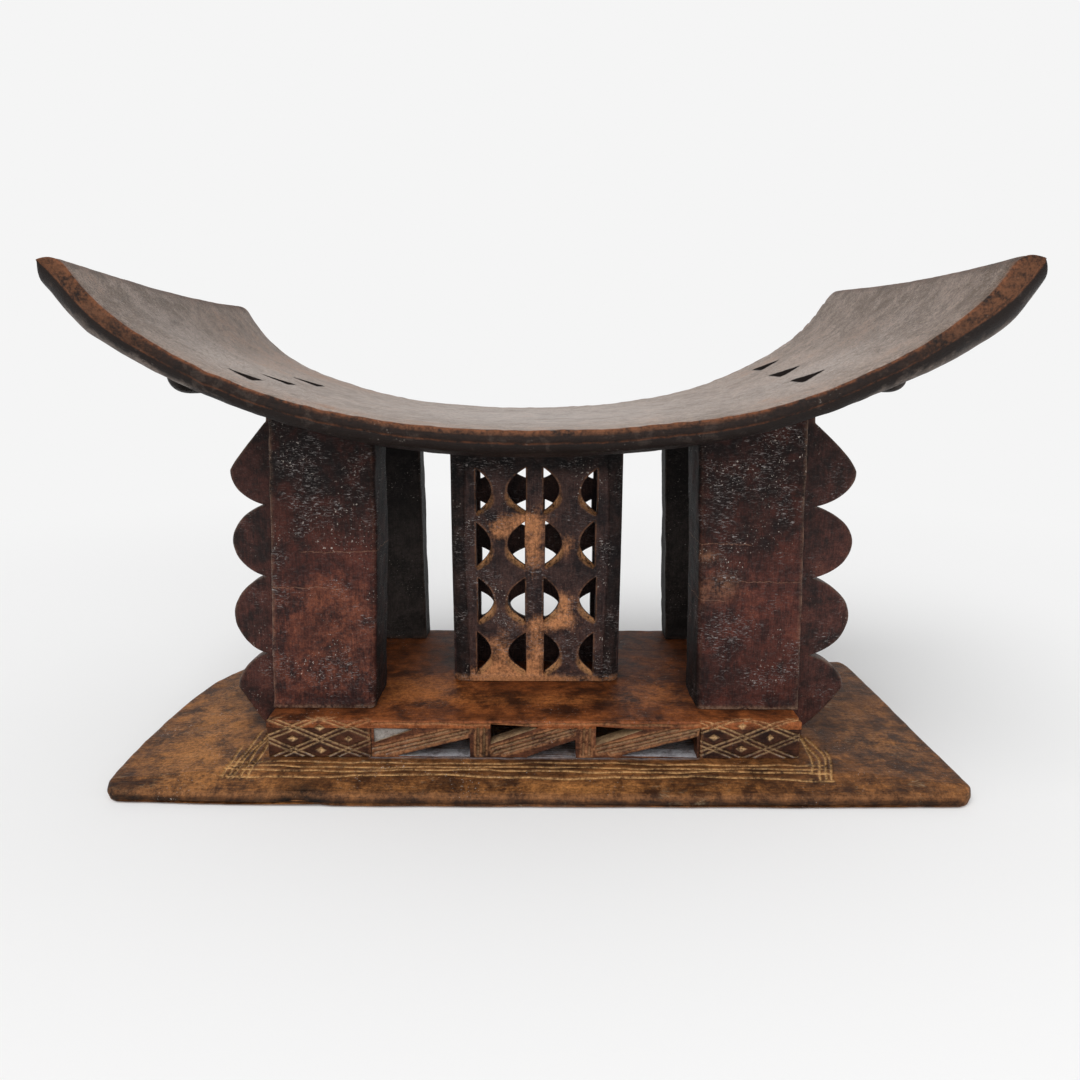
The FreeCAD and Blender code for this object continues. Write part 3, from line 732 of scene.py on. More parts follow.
def fin_reach(height, bottom, swell):
    """How far the fin's outline stands out at a height: four lobes that swell as nearly
    half circles between sharp notches. The highest has a nearly straight upper flank, a
    power of the distance from its tip, and the lowest a straighter lower one."""
    notches = np.array([bottom, *FIN_NOTCHES])
    reaches, tips = np.array(FIN_REACHES), np.array(FIN_TIPS)
    index = np.clip(np.searchsorted(notches, height) - 1, 0, 3)
    share = (height - notches[index]) / (notches[index + 1] - notches[index])
    tip = tips[index]
    rise = np.clip(share / tip, 0, 1)
    fall = np.clip((1 - share) / (1 - tip), 0, 1)
    round_rise = (1 - (1 - rise) ** 2) ** 0.64
    round_fall = (1 - (1 - fall) ** 2) ** 0.64
    lower = np.where(index == 0, 0.8 * rise + 0.2 * round_rise, round_rise)
    upper = np.where(index == 3, 1 - (1 - fall) ** swell, round_fall)
    return FIN_ROOT + reaches[index] * np.where(share < tip, lower, upper)


def make_fin(name, material, seed):
    """A thin plate with four lobes beside a leg: rounded rectangles, reaching from inside
    the leg's face to the lobes' outline, carried upwards."""
    low, high = corners_mm(name)
    side = -1 if high[0] < 0 else 1
    levels = np.linspace(BASE_TOP - 0.4, high[2] + 12, 310)
    start, swell = (17, 1.15) if side < 0 else (22, 1.35)
    lean, scale, limit = (11, 1.0, 226.7) if side < 0 else (8.5, 1.18, 236)
    reach = fin_reach(levels + 0.8 * math.sin(seed), start, swell)
    face = LEG_FOOT - lean * (levels - PLINTH_TOP) / (SEAT_CENTRE_TOP - PLINTH_TOP)
    face = np.minimum(face, LEG_FOOT)
    outer = np.minimum(face + reach * scale + (1.5 if side > 0 else 0), limit)
    rings = []
    for level, inner_x, outer_x in zip(levels, face - 3, outer):
        ease = min(3.0, 0.3 * (outer_x - inner_x))
        corners = [(inner_x, low[1]), (outer_x, low[1]), (outer_x, high[1]), (inner_x, high[1])]
        outline = rounded_outline(corners, [0.5, ease, ease, 0.5])
        outline[:, 0] *= side
        rings.append(np.column_stack([outline, np.full(len(outline), level)]))
    rings = np.array(rings)
    rings[..., 1] += 0.35 * ripple(rings, 40, seed)
    rings[..., 0] += 0.4 * ripple(rings, 28, seed + 3) - side * 0.4
    top = under_seat(rings[..., 0], rings[..., 1])
    rings[..., 2] = np.minimum(rings[..., 2], top + 3)
    rings[..., 1] = np.clip(rings[..., 1], low[1], high[1])
    out = np.abs(rings[..., 0])
    # The pale line along the rim is wear and painted highlight; the fin darkens towards the seat.
    rim = np.exp(-((outer[:, None] - out) / 2.0) ** 2)
    root = bump_of(out, face[:, None] + 1.5, 1.5)
    fields = {"edge": 0.55 * rim, "pale": 0.5 * root,
              "dark": ramp(rings[..., 2], 140, 250) * 0.55}
    return finish_piece(skin(f"{name}_plate", rings, fields), material, name)


# Column


def column_holes(back):
    """Rows of four half discs: the flat side, the bulging direction, the middle height,
    the height and the width of each."""
    for row, (middle, tall) in enumerate(BACK_HOLE_ROWS if back else FRONT_HOLE_ROWS):
        for column, (flat, way, width) in enumerate(HOLE_COLUMNS):
            uneven = math.sin(3.7 * row + 2.3 * column)
            yield (flat + 0.7 * uneven, way, middle + 0.8 * math.sin(5.1 * row + column),
                   tall, width + 0.6 * uneven)


def half_disc_outline(flat, way, middle, tall, width):
    """A flat upright side and a bulge that narrows to points, as a circle's segment."""
    share = np.linspace(-1, 1, 29)
    bulge = width * np.clip(1 - np.abs(share) ** 2.1, 0.004, 1)
    x = np.concatenate([flat + way * bulge, np.full(12, flat)])
    z = np.concatenate([middle + tall / 2 * share,
                        middle + tall / 2 * np.linspace(1, -1, 14)[1:-1]])
    return np.stack([x, z], axis=-1)


def make_pierced_wall(name, material, back):
    """A slab pierced by half discs whose lower edges are cut to broad worn bevels. The
    face is framed by sunk rounded margins and flares a little at its foot."""
    low, high = corners_mm(name)
    high = high.copy()
    high[2] -= 1

    def height(x, z):
        """The depth and the fields of the wall's face: the deepest of the bevels round the
        holes, the margins at both sides and the flare at the foot."""
        sunk = 0.8 + 0.5 * face_ripple(x, z, 60, 21) + 0.35 * face_ripple(x, z, 18, 22)
        groove = np.zeros_like(x)
        edge = np.zeros_like(x)
        for flat, way, middle, tall, width in column_holes(back):
            across = (x - flat) * way
            up = (z - middle) / (tall / 2)
            bulge = width * (1 - np.clip(np.abs(up), 0, 1) ** 2.1)
            past = np.maximum(across - bulge, -across * 1.6)
            past = np.where(np.abs(up) > 1, np.maximum(past, 0) + (np.abs(up) - 1) * tall, past)
            lower = ramp(-up, -0.1, 0.8) * ramp(across, -1.0, 1.5)
            sill = 0.8 + 4.6 * lower
            bevel = np.clip(1 - past / sill, 0, 1)
            sunk = np.maximum(sunk, 0.8 + bevel * (0.6 + 5.4 * lower))
            groove = np.maximum(groove, 1.4 * bevel ** 0.5 * lower)
            edge = np.maximum(edge, 0.45 * bump_of(past, sill, 0.8))
        side = np.minimum(x - low[0], high[0] - x) - 1.2 * np.sin(z / 33)
        margin = ramp(-side, -12.5, -10.5)
        sunk = sunk + 1.3 * margin + 4.6 * np.clip(1 - side / 6.0, 0, 1) ** 1.6
        foot = ramp(-z, -48.5, -45)
        # The top darkens to near black as painted shadow under the seat; the margins are darker
        # too.
        fields = {
            "groove": groove, "edge": np.maximum(edge, 0.7 * foot),
            "dark": np.clip(0.75 * margin + ramp(z, 200, 222) * 1.2, 0, 1) * (1 - foot),
            "warm": spots(x, z, COLUMN_WARM) * (1 - margin) + 0.8 * foot,
            "pale": spots(x, z, COLUMN_PALE),
        }
        return sunk - 1.6 * foot, fields

    wall = relief(f"{name}_slab", low, high, 200, 280, height, -1 if back else 1)
    outlines = [(half_disc_outline(*hole), low[1] - 8, high[1] + 8)
                for hole in column_holes(back)]
    cut_with(wall, prisms("holes", outlines))
    return finish_piece(wall, material, name, 30)


def make_side_wall(name, material):
    """A plain side wall of the column, between the pierced ones: one rectangle with small
    round corners, carried upwards with a slight sideways unevenness."""
    low, high = corners_mm(name)
    gap, overlap = 0.4, 3
    corners = [(low[0] + gap, low[1] - overlap), (high[0] - gap, low[1] - overlap),
               (high[0] - gap, high[1] + overlap), (low[0] + gap, high[1] + overlap)]
    outline = rounded_outline(corners, [1, 1, 1, 1])
    levels = np.linspace(low[2], high[2] - 1, 70)
    rings = np.array([np.column_stack([outline, np.full(len(outline), level)])
                      for level in levels])
    rings[..., 0] += 0.3 * ripple(rings, 45, 31)
    return finish_piece(skin(f"{name}_slab", rings), material, name)


# Plinth


def lattice(x, z, centre_x, centre_z):
    """Lozenge carving: the distance to the nearest stroke of two slanting families of
    double strokes, and the depth of the small chips in the middles of the lozenges."""
    pitch, slope, pair = 40.0, 0.434, 1.5
    strokes = np.full(x.shape, 99.0)
    fall = slope / math.hypot(slope, 1)
    for slant in (-1, 1):
        along = (x - centre_x) + slant * (z - centre_z) / slope
        along = along + 0.8 * np.sin(x / 13 + slant) + 0.4 * np.sin(z / 3.0)
        apart = np.abs((along + pitch / 2) % pitch - pitch / 2)
        strokes = np.minimum(strokes, np.abs(apart * fall - pair))
    chips = np.zeros(x.shape)
    half, rise = pitch / 2, pitch * slope / 2
    middles = [(0, rise), (0, -rise), (-half, 0), (half, 0)]
    for column, (off_x, off_z) in enumerate(middles):
        across = np.abs(x - centre_x - off_x) / (4.6 if column != 3 else 3.2)
        up = np.abs(z - centre_z - off_z) / 2.9
        chips = np.maximum(chips, np.clip(1 - across - up, 0, 1))
    return strokes, chips


def lozenge_relief(x, z):
    """The depth and the fields of the lozenge carving at both ends of the plinth."""
    left, right = lattice(x, z, -154, 28), lattice(x, z, 147.6, 30)
    inside = ramp(np.abs(x), 116.5, 118.5)
    strokes = np.where(x < 0, left[0], right[0])
    chips = np.where(x < 0, left[1], right[1]) * inside
    line = np.clip(1 - strokes / 1.0, 0, 1) * inside
    sunk = 1.25 * line + 2.2 * chips
    pale = np.where(x < 0, 0.95 - 0.5 * ramp(x, -155, -125), 0.62 + 0.3 * ramp(z, 28, 37))
    groove = np.maximum(line * pale, np.clip(chips * 2.5, 0, 1.1))
    return sunk, groove, inside


def make_block(name, material):
    """A solid end of the plinth: a slab whose front face is a grid, sunk by the depth of
    the lozenge carving and a slight unevenness."""
    low, high = corners_mm(name)
    low[0] = max(low[0], PLINTH_ENDS[0])
    high[0] = min(high[0], PLINTH_ENDS[1])

    def height(x, z):
        """The depth and the fields of the block's front."""
        sunk, groove = lozenge_relief(x, z)[:2]
        wave = 0.3 * face_ripple(x, z, 25, 43)
        post = ramp(-np.abs(x), -121, -118)
        fields = {"groove": groove, "dark": 0.55 * (1 - post) * np.ones_like(x),
                  "edge": 0.4 * post}
        return 0.5 + wave + sunk, fields

    block = relief(f"{name}_slab", low, high, 200, 62, height)
    return finish_piece(block, material, name)


def band_grooves(x, z):
    """The distance to the nearest incised line of the band: three along each bar, two on
    each post and one along the band's upper edge."""
    nearest = np.full(x.shape, 99.0)
    for left, low_z, right, high_z in BAND_BARS:
        for offset, start, end in BAR_LINES:
            run, climb = right - left, high_z - low_z
            begin = (left + run * start, low_z + climb * start + offset)
            finish = (left + run * end, low_z + climb * end + offset)
            nearest = np.minimum(nearest, distance_to_line(x, z, begin, finish))
    for post in (-41.5, -37.2, 34.2, 38.4):
        nearest = np.minimum(nearest, distance_to_line(x, z, (post, 16), (post + 0.6, 37)))
    upper = 39.6 + 0.5 * np.sin(x / 19) + 0.3 * np.sin(x / 6)
    return np.minimum(nearest, np.abs(z - upper) + 9 * (np.abs(x) > 118))


def band_cutter(back):
    """The band's openings as prisms. The first upper one in front is only a recess."""
    outlines = []
    depth = PLINTH_HIGH[1]
    for index, corners in enumerate(BAND_TRIANGLES):
        places = np.array(corners, float).reshape(3, 2)
        outline = rounded_outline(places, [0.4, 0.4, 0.4], 4, 3.0)
        if back:
            outlines.append((outline, depth - 18, depth + 4))
        else:
            outlines.append((outline, -depth - 4, -depth + (3.6 if index == 0 else 18)))
    return prisms("triangles", outlines)


def band_fields(x, z):
    """Depth and fields of the band's grooves, with paler rubbed wood beside them."""
    nearest = band_grooves(x, z)
    line = np.clip(1 - nearest / 1.15, 0, 1)
    return 1.25 * line, line * 0.4, 0.7 * bump_of(nearest, 2.0, 0.8)


def make_band(name, material, back):
    """The pierced band: triangles cut through it, with the diagonal bars and the posts
    between the units grooved along their length."""
    low, high = corners_mm(name)

    def height(x, z):
        """The depth and the fields of the band's front."""
        sunk, groove, edge = band_fields(x, z)
        wave = 0.35 * face_ripple(x, z, 26, 41)
        return 0.6 + wave + sunk, {"groove": groove, "edge": edge, "warm": edge * 0.5}

    band = relief(f"{name}_slab", low, high, 400, 56, height, -1 if back else 1)
    cut_with(band, band_cutter(back))
    return finish_piece(band, material, name, 30)


def make_plinth_top(material):
    """The slab over the plinth, as sections carried along its length. Its front edge is
    worn round and takes up the carving of the band and the lozenges below it."""
    low, high = PLINTH_LOW, PLINTH_HIGH
    across, ledge_count, radius = 70, 46, 3.0
    edge_start = across + ledge_count
    turn = np.linspace(0, math.pi / 2, 8)
    ledge = np.linspace(-62, low[1] + radius + 0.5, ledge_count)
    y = np.concatenate([[high[1]], np.linspace(high[1] - 1.5, -60, across), ledge,
                        low[1] + radius - radius * np.sin(turn), np.full(6, low[1]),
                        [low[1], high[1]]])
    z = np.concatenate([[high[2] - 1.2], np.full(edge_start, high[2]),
                        high[2] - radius + radius * np.cos(turn),
                        np.linspace(high[2] - radius, low[2], 7)[1:], [low[2], low[2]]])
    y[-2] += 1.5
    xs = np.linspace(*PLINTH_ENDS, 560)
    count = len(y)
    place = np.arange(count)
    rings = np.zeros((len(xs), count, 3))
    rings[..., 0], rings[..., 1], rings[..., 2] = xs[:, None], y[None], z[None]
    upper = ((place > 0) & (place < edge_start + 4)).astype(float)[None]
    wave = 0.4 * ripple(rings, 85, 51) + 0.25 * ripple(rings, 23, 52)
    x = np.broadcast_to(xs[:, None], rings.shape[:2])
    over = np.clip(rings[..., 1] - low[1], 0, 99)
    folded = rings[..., 2] + 0.8 * over
    sunk, groove, inside = lozenge_relief(x, folded)
    bands, band_groove = band_fields(x, folded)[:2]
    near = ramp(-over, -8.5, -6.0) * (place > across)
    reach = np.where(inside > 0.5, near, (over < 1.5) * 1.0) * (place < count - 2)
    depth = np.where(inside > 0.5, sunk, bands) * reach
    facing = ramp(-over, -3.0, 0.0)
    front = (place >= edge_start) & (place < count - 2)
    rings[..., 1] += np.where(front, depth * facing + 0.4, 0)
    rings[..., 2] += upper * (wave - 0.65) - depth * upper
    rings[..., 2] = np.clip(rings[..., 2], low[2], high[2])
    lines = np.where(inside > 0.5, groove, band_groove) * reach
    fields = {
        "edge": np.where(place >= edge_start - 2, 0.5, 0.0) * (1 - lines),
        "groove": lines,
        "warm": spots(x, rings[..., 1], PLINTH_WARM),
        "dark": spots(x, rings[..., 1], PLINTH_DARK),
    }
    piece = skin("plinth_slab", rings, fields)
    cut_with(piece, band_cutter(False))
    return finish_piece(piece, material, "plinth_top")


# Materials


class Value:
    """A shader socket that can be added to, multiplied and compared with others."""

    def __init__(self, tree, socket):
        self.tree = tree
        self.socket = socket

    def math(self, operation, other=None, clamp=False):
        """A Math node with this value first and, where there is one, another second."""
        node = self.tree.nodes.new("ShaderNodeMath")
        node.operation = operation
        node.use_clamp = clamp
        for index, item in enumerate((self, other)):
            if isinstance(item, Value):
                self.tree.links.new(item.socket, node.inputs[index])
            elif item is not None:
                node.inputs[index].default_value = item
        return Value(self.tree, node.outputs[0])

    def __add__(self, other):
        return self.math("ADD", other)

    __radd__ = __add__

    def __sub__(self, other):
        return self.math("SUBTRACT", other)

    def __rsub__(self, other):
        return self * -1 + other

    def __mul__(self, other):
        return self.math("MULTIPLY", other)

    __rmul__ = __mul__

    def at_most_one(self):
        """The value, held between 0 and 1."""
        return self.math("ADD", 0.0, clamp=True)

    def larger(self, other):
        """The larger of two values."""
        return self.math("MAXIMUM", other)

    def size(self):
        """The value without its sign."""
        return self.math("ABSOLUTE")


class Nodes:
    """The nodes of a material or a world, with one method for every kind of node."""

    def __init__(self, owner):
        owner.use_nodes = True
        self.owner = owner
        self.tree = owner.node_tree
        self.tree.nodes.clear()

    def node(self, kind, settings=None, inputs=None, output=0):
        """A node of a type: settings first, then values or links for its sockets."""
        made = self.tree.nodes.new(kind)
        for key, value in (settings or {}).items():
            setattr(made, key, value)
        for key, value in (inputs or {}).items():
            socket = made.inputs[key]
            if isinstance(value, Value):
                self.tree.links.new(value.socket, socket)
            elif hasattr(value, "is_output"):
                self.tree.links.new(value, socket)
            else:
                socket.default_value = value
        return made.outputs[output] if made.outputs else None

    def value(self, *args, **kwargs):
        """A node's output as a value that sums can use."""
        return Value(self.tree, self.node(*args, **kwargs))

    def place(self):
        """The place in the object's own coordinates."""
        return self.node("ShaderNodeTexCoord", output=3)

    def coordinates(self, scale=(1, 1, 1), shift=(0, 0, 0)):
        """The place, scaled and then shifted."""
        return self.node("ShaderNodeMapping", {"vector_type": "POINT"},
                         {"Vector": self.place(), "Scale": scale, "Location": shift})

    def parts(self, vector):
        """The X, Y and Z of a vector."""
        return [self.value("ShaderNodeSeparateXYZ", None, {"Vector": vector}, output=number)
                for number in range(3)]

    def noise(self, vector, scale, detail, rough, warp=0.0):
        """Cloudy noise: how often it repeats in a metre, its octaves, how strong the fine
        ones are, and how much it is bent out of shape."""
        return self.value("ShaderNodeTexNoise", None,
                          {"Vector": vector, "Scale": scale, "Detail": detail,
                           "Roughness": rough, "Distortion": warp})

    def between(self, value, low, high):
        """A smooth step of a value between two levels, from 0 to 1."""
        return self.value("ShaderNodeMapRange",
                          {"interpolation_type": "SMOOTHSTEP", "clamp": True},
                          {"Value": value, "From Min": low, "From Max": high,
                           "To Min": 0.0, "To Max": 1.0})

    def field(self, name):
        """The numbers that a mesh carries on its points under a name."""
        return self.value("ShaderNodeAttribute", {"attribute_name": name}, output=2)

    def mix(self, share, first, second, mode="MIX"):
        """Two colours mixed by a share of the second."""
        return self.node("ShaderNodeMix", {"data_type": "RGBA", "blend_type": mode},
                         {0: share, 6: first, 7: second}, output=2)

    def seen_plainly(self):
        """1 for rays from the camera, off glossy surfaces and through clear ones, else 0."""
        camera, glossy, through = (self.value("ShaderNodeLightPath", output=number)
                                   for number in (0, 3, 6))
        return camera.larger(glossy).larger(through)


def tone(red, green, blue):
    """A colour written as 0 to 255 steps on screen, in the linear values shaders use."""
    def linear(step):
        share = step / 255
        return share / 12.92 if share <= 0.04045 else ((share + 0.055) / 1.055) ** 2.4
    return linear(red), linear(green), linear(blue), 1.0


def stretched(grain, along, across):
    """Scales that draw a texture out along the grain, which runs in X or Z."""
    return (along, across, across) if grain == "x" else (across, across, along)


def add_cracks(made, colour, height, place, plain, cracks):
    """Thin level lines, each given by its height and its two ends in millimetres, which
    wander a little and fade at both ends. Their colour is dusty and they are sunk."""
    wide, narrow, fading = 0.00045, 0.0001, 0.004
    across, _, level = made.parts(place)
    wander = (made.noise(plain, 110, 3, 0.6) - 0.5) * 0.006
    for crack_level, start, end in cracks:
        away = (level + wander - crack_level * MM).size()
        span = made.between(across, start * MM, start * MM + fading)
        span = span * made.between(across, end * MM, end * MM - fading)
        line = (1 - made.between(away, narrow, wide)) * span
        colour = made.mix(line * 0.45, colour, tone(150, 112, 92))
        height = height - line * 0.4
    return colour, height


def add_dust(made, colour, place, blotch):
    """Dust on faces that look up, paler on the board under the band than on the band, and
    on the floor of the band's first recess."""
    board_level, recess_middle, recess_half = 0.0175, -0.101, 0.0175
    recess_front, recess_back = -0.0975, -0.0935
    facing = made.parts(made.node("ShaderNodeNewGeometry", output=1))[2]
    across, ahead, level = made.parts(place)
    uneven = 0.4 + 0.6 * made.between(blotch, 0.36, 0.56)
    settled = made.between(facing, 0.6, 0.9) * uneven
    grey = made.mix(made.between(level, board_level, board_level - 0.0015),
                    tone(170, 140, 106), tone(166, 164, 168))
    colour = made.mix(settled.at_most_one(), colour, grey)
    recess = made.between((across - recess_middle).size(), recess_half, recess_half - 0.0015)
    recess = recess * made.between(ahead, recess_front, recess_front + 0.0007)
    recess = recess * made.between(ahead, recess_back, recess_back - 0.0007)
    return made.mix((recess * uneven).at_most_one(), colour, tone(158, 152, 146))


def worn_wood(name, deep, mid, warm, warm_share, seed, grain="z", speckle=0.5, gloss=0.5,
              groove_tone=(176, 138, 98), edge_tone=None, marks=0.0, shine=0.12, pores=0.3,
              pale_tone=(150, 144, 142), soot_and_shade_tone=(12, 9, 9), sheen_tone=None, streaks=0.2,
              cracks=(), dusty=False):
    """Old hand-rubbed wood: a dark skin over a warmer wood that shows where it is worn,
    fibres along the grain, fine cross marks of the adze, pale flecks and pale grooves."""
    made = Nodes(bpy.data.materials.new(name))
    deep, mid, warm = tone(*deep), tone(*mid), tone(*warm)
    shift = (seed, seed * 0.7, -seed)
    plain = made.coordinates(shift=shift)
    along = made.coordinates(stretched(grain, 1, 9), shift)
    fibres = made.noise(along, 75, 6, 0.65)
    fine = made.noise(along, 260, 4, 0.6)
    cloud = made.noise(plain, 24, 6, 0.65, 0.6)
    blotch = made.noise(plain, 75, 5, 0.65, 0.4)
    small = made.noise(plain, 420, 3, 0.65)
    grit = made.noise(plain, 1100, 2, 0.6)
    soot_and_shade, rubbed, pale_marks_and_sheen = made.field("dark"), made.field("warm"), made.field("pale")

    # The skin's own two tones, with a painted grey sheen where the pale field is high
    mixed = cloud * (0.65 - streaks) + fibres * streaks + blotch * 0.35
    colour = made.mix(made.between(mixed, 0.40, 0.60), deep, mid)
    if sheen_tone:
        shining = pale_marks_and_sheen * made.between(fibres * 0.6 + cloud * 0.4, 0.36, 0.56)
        colour = made.mix(shining.at_most_one() * 0.9, colour, tone(*sheen_tone))

    # The warmer wood where the skin is rubbed off, and soot and painted shade over both
    shown = cloud * 0.4 + blotch * 0.3 + small * 0.15 + fibres * 0.15
    shown = shown + (warm_share - 0.5) * 0.2 + rubbed * 0.17 - soot_and_shade * 0.12
    warmer = made.mix(made.between(blotch * 0.5 + small * 0.5, 0.38, 0.58), mid, warm)
    warmer = made.mix(0.45, warm, warmer)
    colour = made.mix(made.between(shown, 0.49, 0.76) * 0.92, colour, warmer)
    soot_and_shade_share = soot_and_shade * (1 - 0.24 * made.between(blotch, 0.42, 0.62))
    colour = made.mix(soot_and_shade_share.at_most_one(), colour, tone(*soot_and_shade_tone))

    # Dark pores along the grain, rubbed edges with painted edge highlights, and pale grooves
    pore = made.noise(made.coordinates(stretched(grain, 1, 20), shift), 62, 3, 0.65)
    pore = made.between(pore, 0.51, 0.63)
    colour = made.mix((pore * pores).at_most_one(), colour, tone(24, 15, 12))
    edge_wear_and_highlight = made.field("edge") * made.between(small * 0.4 + blotch * 0.6, 0.36, 0.58)
    colour = made.mix(edge_wear_and_highlight.at_most_one() * 0.85, colour,
                      tone(*edge_tone) if edge_tone else warm)
    uneven = small * 0.35 + blotch * 0.4 + fibres * 0.25
    filled = (made.field("groove") * made.between(uneven, 0.36, 0.57)).at_most_one()
    colour = made.mix(filled, colour, tone(*groove_tone))

    # Cross marks of the adze in clusters, and pale flecks
    cross = (30, 70, 70) if grain == "x" else (90, 80, 340)
    scratch = made.noise(made.coordinates(cross, shift), 3.1, 3, 0.6, 1.2)
    cluster = made.between(made.noise(plain, 34, 3, 0.55) + pale_marks_and_sheen * 0.16, 0.50, 0.66)
    marked = made.between(scratch, 0.61, 0.69) * (cluster * 0.95 + 0.05)
    marked = (marked + made.between(scratch, 0.53, 0.60) * (0.05 + 0.2 * cluster)) * marks
    colour = made.mix(marked.at_most_one(), colour, tone(*pale_tone))
    flecks = made.between(made.noise(plain, 640, 2, 0.5), 0.665, 0.71)
    flecks = flecks * made.between(made.noise(plain, 30, 3, 0.5) + pale_marks_and_sheen * 0.14, 0.52, 0.66)
    colour = made.mix((flecks * speckle).at_most_one(), colour, tone(196, 186, 176))

    height = (fibres * 0.45 + fine * 0.3 + small * 0.35 + blotch * 0.5 - pore * 0.3 * pores
              + marked * 0.35 + grit * 0.08)
    place = made.place()
    if cracks:
        colour, height = add_cracks(made, colour, height, place, plain, cracks)
    if dusty:
        colour = add_dust(made, colour, place, blotch)
    shade = 0.62 + 0.50 * made.between(grit * 0.5 + small * 0.5, 0.34, 0.62)
    colour = made.mix(1.0, colour, shade, "MULTIPLY")
    rough = gloss + 0.22 * (fine - 0.5) + 0.25 * (cloud - 0.5) + 0.12 * filled + 0.15 * soot_and_shade
    bump = made.node("ShaderNodeBump", None,
                     {"Strength": 0.65, "Distance": 0.0011, "Height": height})
    shader = made.node("ShaderNodeBsdfPrincipled", None,
                       {"Base Color": colour, "Roughness": rough.larger(0.2), "Normal": bump,
                        "Specular IOR Level": shine})
    made.node("ShaderNodeOutputMaterial", None, {"Surface": shader})
    return made.owner


MATERIALS = {
    # The seat's pale grey-brown tones and its sheen tone are painted sheen of the glossy top.
    "seat": worn_wood("worn_seat_wood_and_sheen", (120, 100, 84), (172, 154, 142), (144, 100, 66), 0.44,
                      1.0, "x", speckle=0.2, gloss=0.42, shine=0.2, edge_tone=(122, 70, 40),
                      pores=0.5, soot_and_shade_tone=(24, 14, 10), sheen_tone=(188, 178, 172),
                      streaks=0.35, groove_tone=(112, 72, 48)),
    "leg": worn_wood("dark_leg_wood", (42, 24, 23), (94, 50, 41), (128, 74, 52), 0.42, 2.0,
                     speckle=0.7, marks=1.0, groove_tone=(140, 98, 74),
                     edge_tone=(126, 100, 82),
                     cracks=((160.3, -168, -109), (134, -191, -136), (166.8, 113, 153),
                             (139.2, 139, 189), (125.8, 109, 137))),
    "fin": worn_wood("fin_wood", (34, 24, 23), (80, 47, 41), (120, 76, 56), 0.35, 2.6,
                     marks=0.6, edge_tone=(130, 104, 84)),
    # A darker, greyer copy of the leg wood for the back legs and the grips.
    "back": worn_wood("dark_back_leg_wood", (36, 32, 30), (62, 55, 52), (70, 54, 46), 0.2, 3.0,
                      marks=0.4, pale_tone=(100, 94, 92)),
    "column": worn_wood("column_wood", (30, 21, 22), (76, 54, 49), (200, 136, 90), 0.16, 4.0,
                        speckle=0.9, marks=0.9, groove_tone=(196, 142, 96),
                        edge_tone=(166, 114, 76), pores=0.25),
    "plinth": worn_wood("plinth_wood", (62, 33, 19), (144, 80, 42), (196, 120, 64), 0.44, 5.0,
                        "x", speckle=0.4, groove_tone=(196, 156, 110),
                        edge_tone=(140, 82, 50), pores=0.35),
    "band": worn_wood("band_wood", (46, 26, 20), (106, 64, 43), (156, 102, 66), 0.42, 6.0,
                      "x", speckle=0.4, groove_tone=(196, 160, 116), dusty=True,
                      edge_tone=(168, 120, 82)),
    "base": worn_wood("base_wood", (58, 34, 19), (128, 82, 46), (184, 124, 68), 0.46, 7.0,
                      "x", gloss=0.52, edge_tone=(130, 88, 56), groove_tone=(204, 160, 106),
                      pores=0.35, pale_tone=(170, 150, 120), marks=0.25,
                      sheen_tone=(150, 148, 152)),
}


# Build


CORNERS = ("front_left", "front_right", "back_left", "back_right")
FIRST_LEG_SEED = 60
FIRST_FIN_SEED = 70

make_seat(MATERIALS["seat"])
make_base(MATERIALS["base"])
for number, corner in enumerate(CORNERS):
    make_leg(f"{corner}_leg", MATERIALS["leg" if "front" in corner else "back"],
             FIRST_LEG_SEED + number)
for number, corner in enumerate(CORNERS):
    make_fin(f"{corner}_fin", MATERIALS["fin"], FIRST_FIN_SEED + number)
make_pierced_wall("column_front_wall", MATERIALS["column"], False)
make_pierced_wall("column_back_wall", MATERIALS["column"], True)
make_side_wall("column_left_wall", MATERIALS["column"])
make_side_wall("column_right_wall", MATERIALS["column"])
make_block("plinth_left_block", MATERIALS["band"])
make_block("plinth_right_block", MATERIALS["band"])
make_band("plinth_front_band", MATERIALS["band"], False)
make_band("plinth_back_band", MATERIALS["band"], True)
make_plinth_top(MATERIALS["plinth"])
make_grip("seat_grip_left", MATERIALS["back"])
make_grip("seat_grip_right", MATERIALS["back"])


# Floor, light and camera


FLOOR_HALF_SIZE = 6.0
FLOOR_TONE = tone(242, 242, 242)
BACKGROUND_TONE = tone(245, 245, 245)
SKY_STRENGTH = 0.58
SUN_STRENGTH = 1.42
SUN_SPREAD = math.radians(50)
SUN_DIRECTION = Vector((-0.35, -0.55, 1.0))
LAMP_POWER = 9
LAMP_SIZE = 1.2
LAMP_PLACE = Vector((0.3, -1.6, 0.7))
LAMP_TARGET = Vector((0, 0, 0.15))
FOCAL_PIXELS = 780
FRAME_PIXELS = 1080
SENSOR_WIDTH = 36
CAMERA_PLACE = (0.0033, -0.6118, 0.2888)
CAMERA_PITCH, CAMERA_YAW, CAMERA_ROLL = (math.radians(12.578), math.radians(0.06),
                                         math.radians(0.181))


def turned_from(direction):
    """The turn that makes a lamp shine against a direction."""
    return direction.to_track_quat("Z", "Y").to_euler()


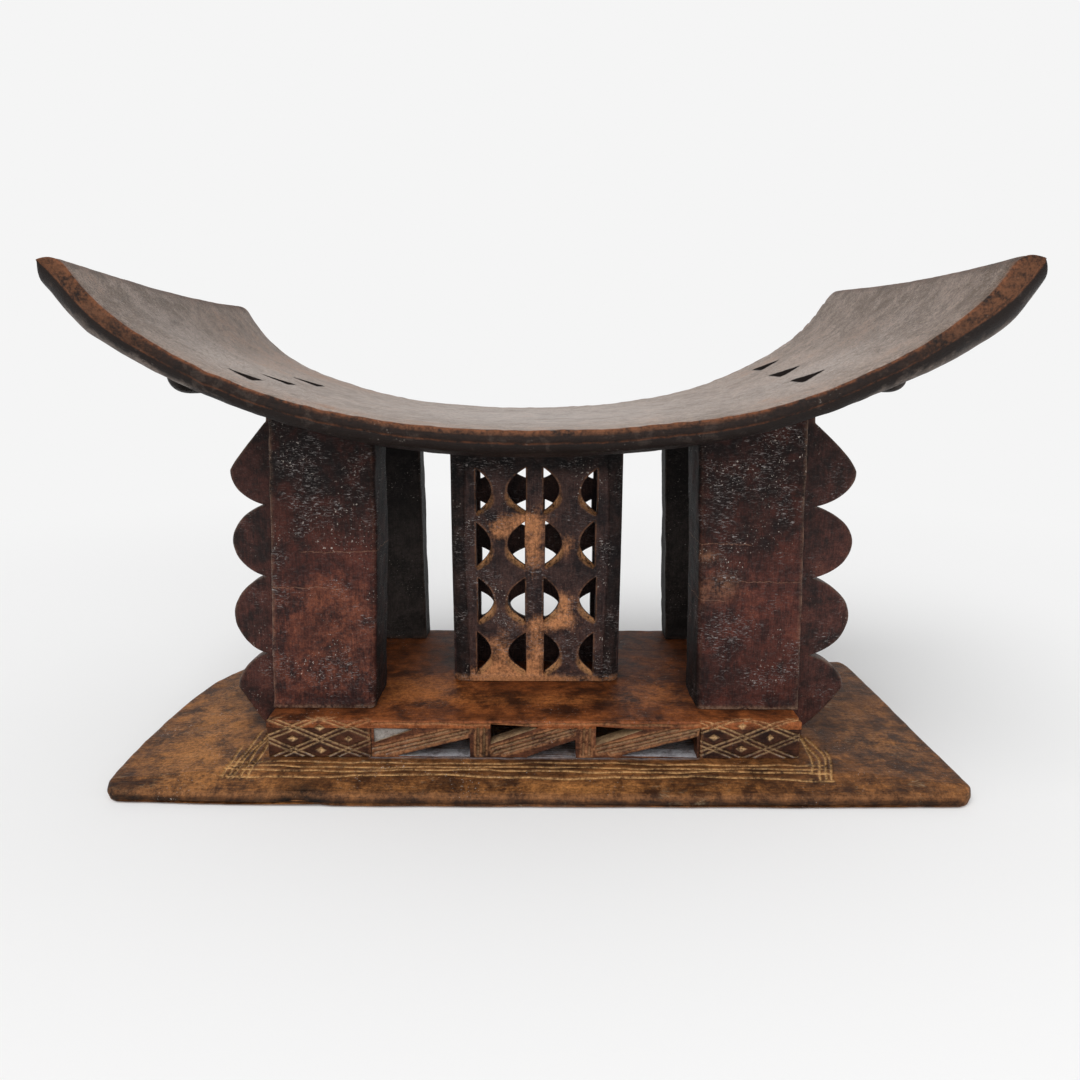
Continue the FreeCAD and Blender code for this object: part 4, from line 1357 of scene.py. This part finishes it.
def make_floor():
    """A wide pale floor under the stool. Far from it, the camera sees the background's
    colour, so that no horizon shows."""
    size = FLOOR_HALF_SIZE
    mesh = bpy.data.meshes.new("floor")
    mesh.from_pydata([(-size, -size, 0), (size, -size, 0), (size, size, 0), (-size, size, 0)],
                     [], [(0, 1, 2, 3)])
    floor = place_object("floor", mesh)
    made = Nodes(bpy.data.materials.new("pale_floor"))
    near = made.node("ShaderNodeBsdfPrincipled", None,
                     {"Base Color": FLOOR_TONE, "Roughness": 0.9, "Specular IOR Level": 0.1})
    far = made.node("ShaderNodeEmission", None, {"Color": BACKGROUND_TONE, "Strength": 1.0})
    distance = made.value("ShaderNodeVectorMath", {"operation": "LENGTH"}, {0: made.place()},
                          output=1)
    share = made.between(distance, 0.55, 1.3) * made.seen_plainly()
    mixed = made.node("ShaderNodeMixShader", None, {0: share, 1: near, 2: far})
    made.node("ShaderNodeOutputMaterial", None, {"Surface": mixed})
    mesh.materials.append(made.owner)


def make_light():
    """A soft even sky, white to the camera and to reflections, and two broad lamps."""
    made = Nodes(bpy.data.worlds.new("studio"))
    bpy.context.scene.world = made.owner
    sky = made.node("ShaderNodeBackground", None,
                    {"Color": (1, 1, 1, 1), "Strength": SKY_STRENGTH})
    shown = made.node("ShaderNodeBackground", None,
                      {"Color": BACKGROUND_TONE, "Strength": 1.0})
    mixed = made.node("ShaderNodeMixShader", None, {0: made.seen_plainly(), 1: sky, 2: shown})
    made.node("ShaderNodeOutputWorld", None, {"Surface": mixed})
    sun = bpy.data.lights.new("sun", "SUN")
    sun.energy = SUN_STRENGTH
    sun.angle = SUN_SPREAD
    place_object("sun", sun).rotation_euler = turned_from(SUN_DIRECTION)
    front = bpy.data.lights.new("front", "AREA")
    front.energy = LAMP_POWER
    front.size = LAMP_SIZE
    holder = place_object("front", front)
    holder.location = LAMP_PLACE
    holder.rotation_euler = turned_from(LAMP_PLACE - LAMP_TARGET)


def make_camera():
    """The photograph's camera: a short lens close to the stool, tipped down a little."""
    camera = bpy.data.cameras.new("photograph")
    camera.sensor_width = SENSOR_WIDTH
    camera.lens = FOCAL_PIXELS / FRAME_PIXELS * SENSOR_WIDTH
    camera.clip_start = 0.01
    holder = place_object("photograph", camera)
    turn = (Matrix.Rotation(CAMERA_YAW, 4, "Z")
            @ Matrix.Rotation(math.pi / 2 - CAMERA_PITCH, 4, "X")
            @ Matrix.Rotation(CAMERA_ROLL, 4, "Z"))
    holder.matrix_world = Matrix.Translation(CAMERA_PLACE) @ turn
    bpy.context.scene.camera = holder


make_floor()
make_light()
make_camera()
bpy.context.scene.view_settings.view_transform = "Standard"
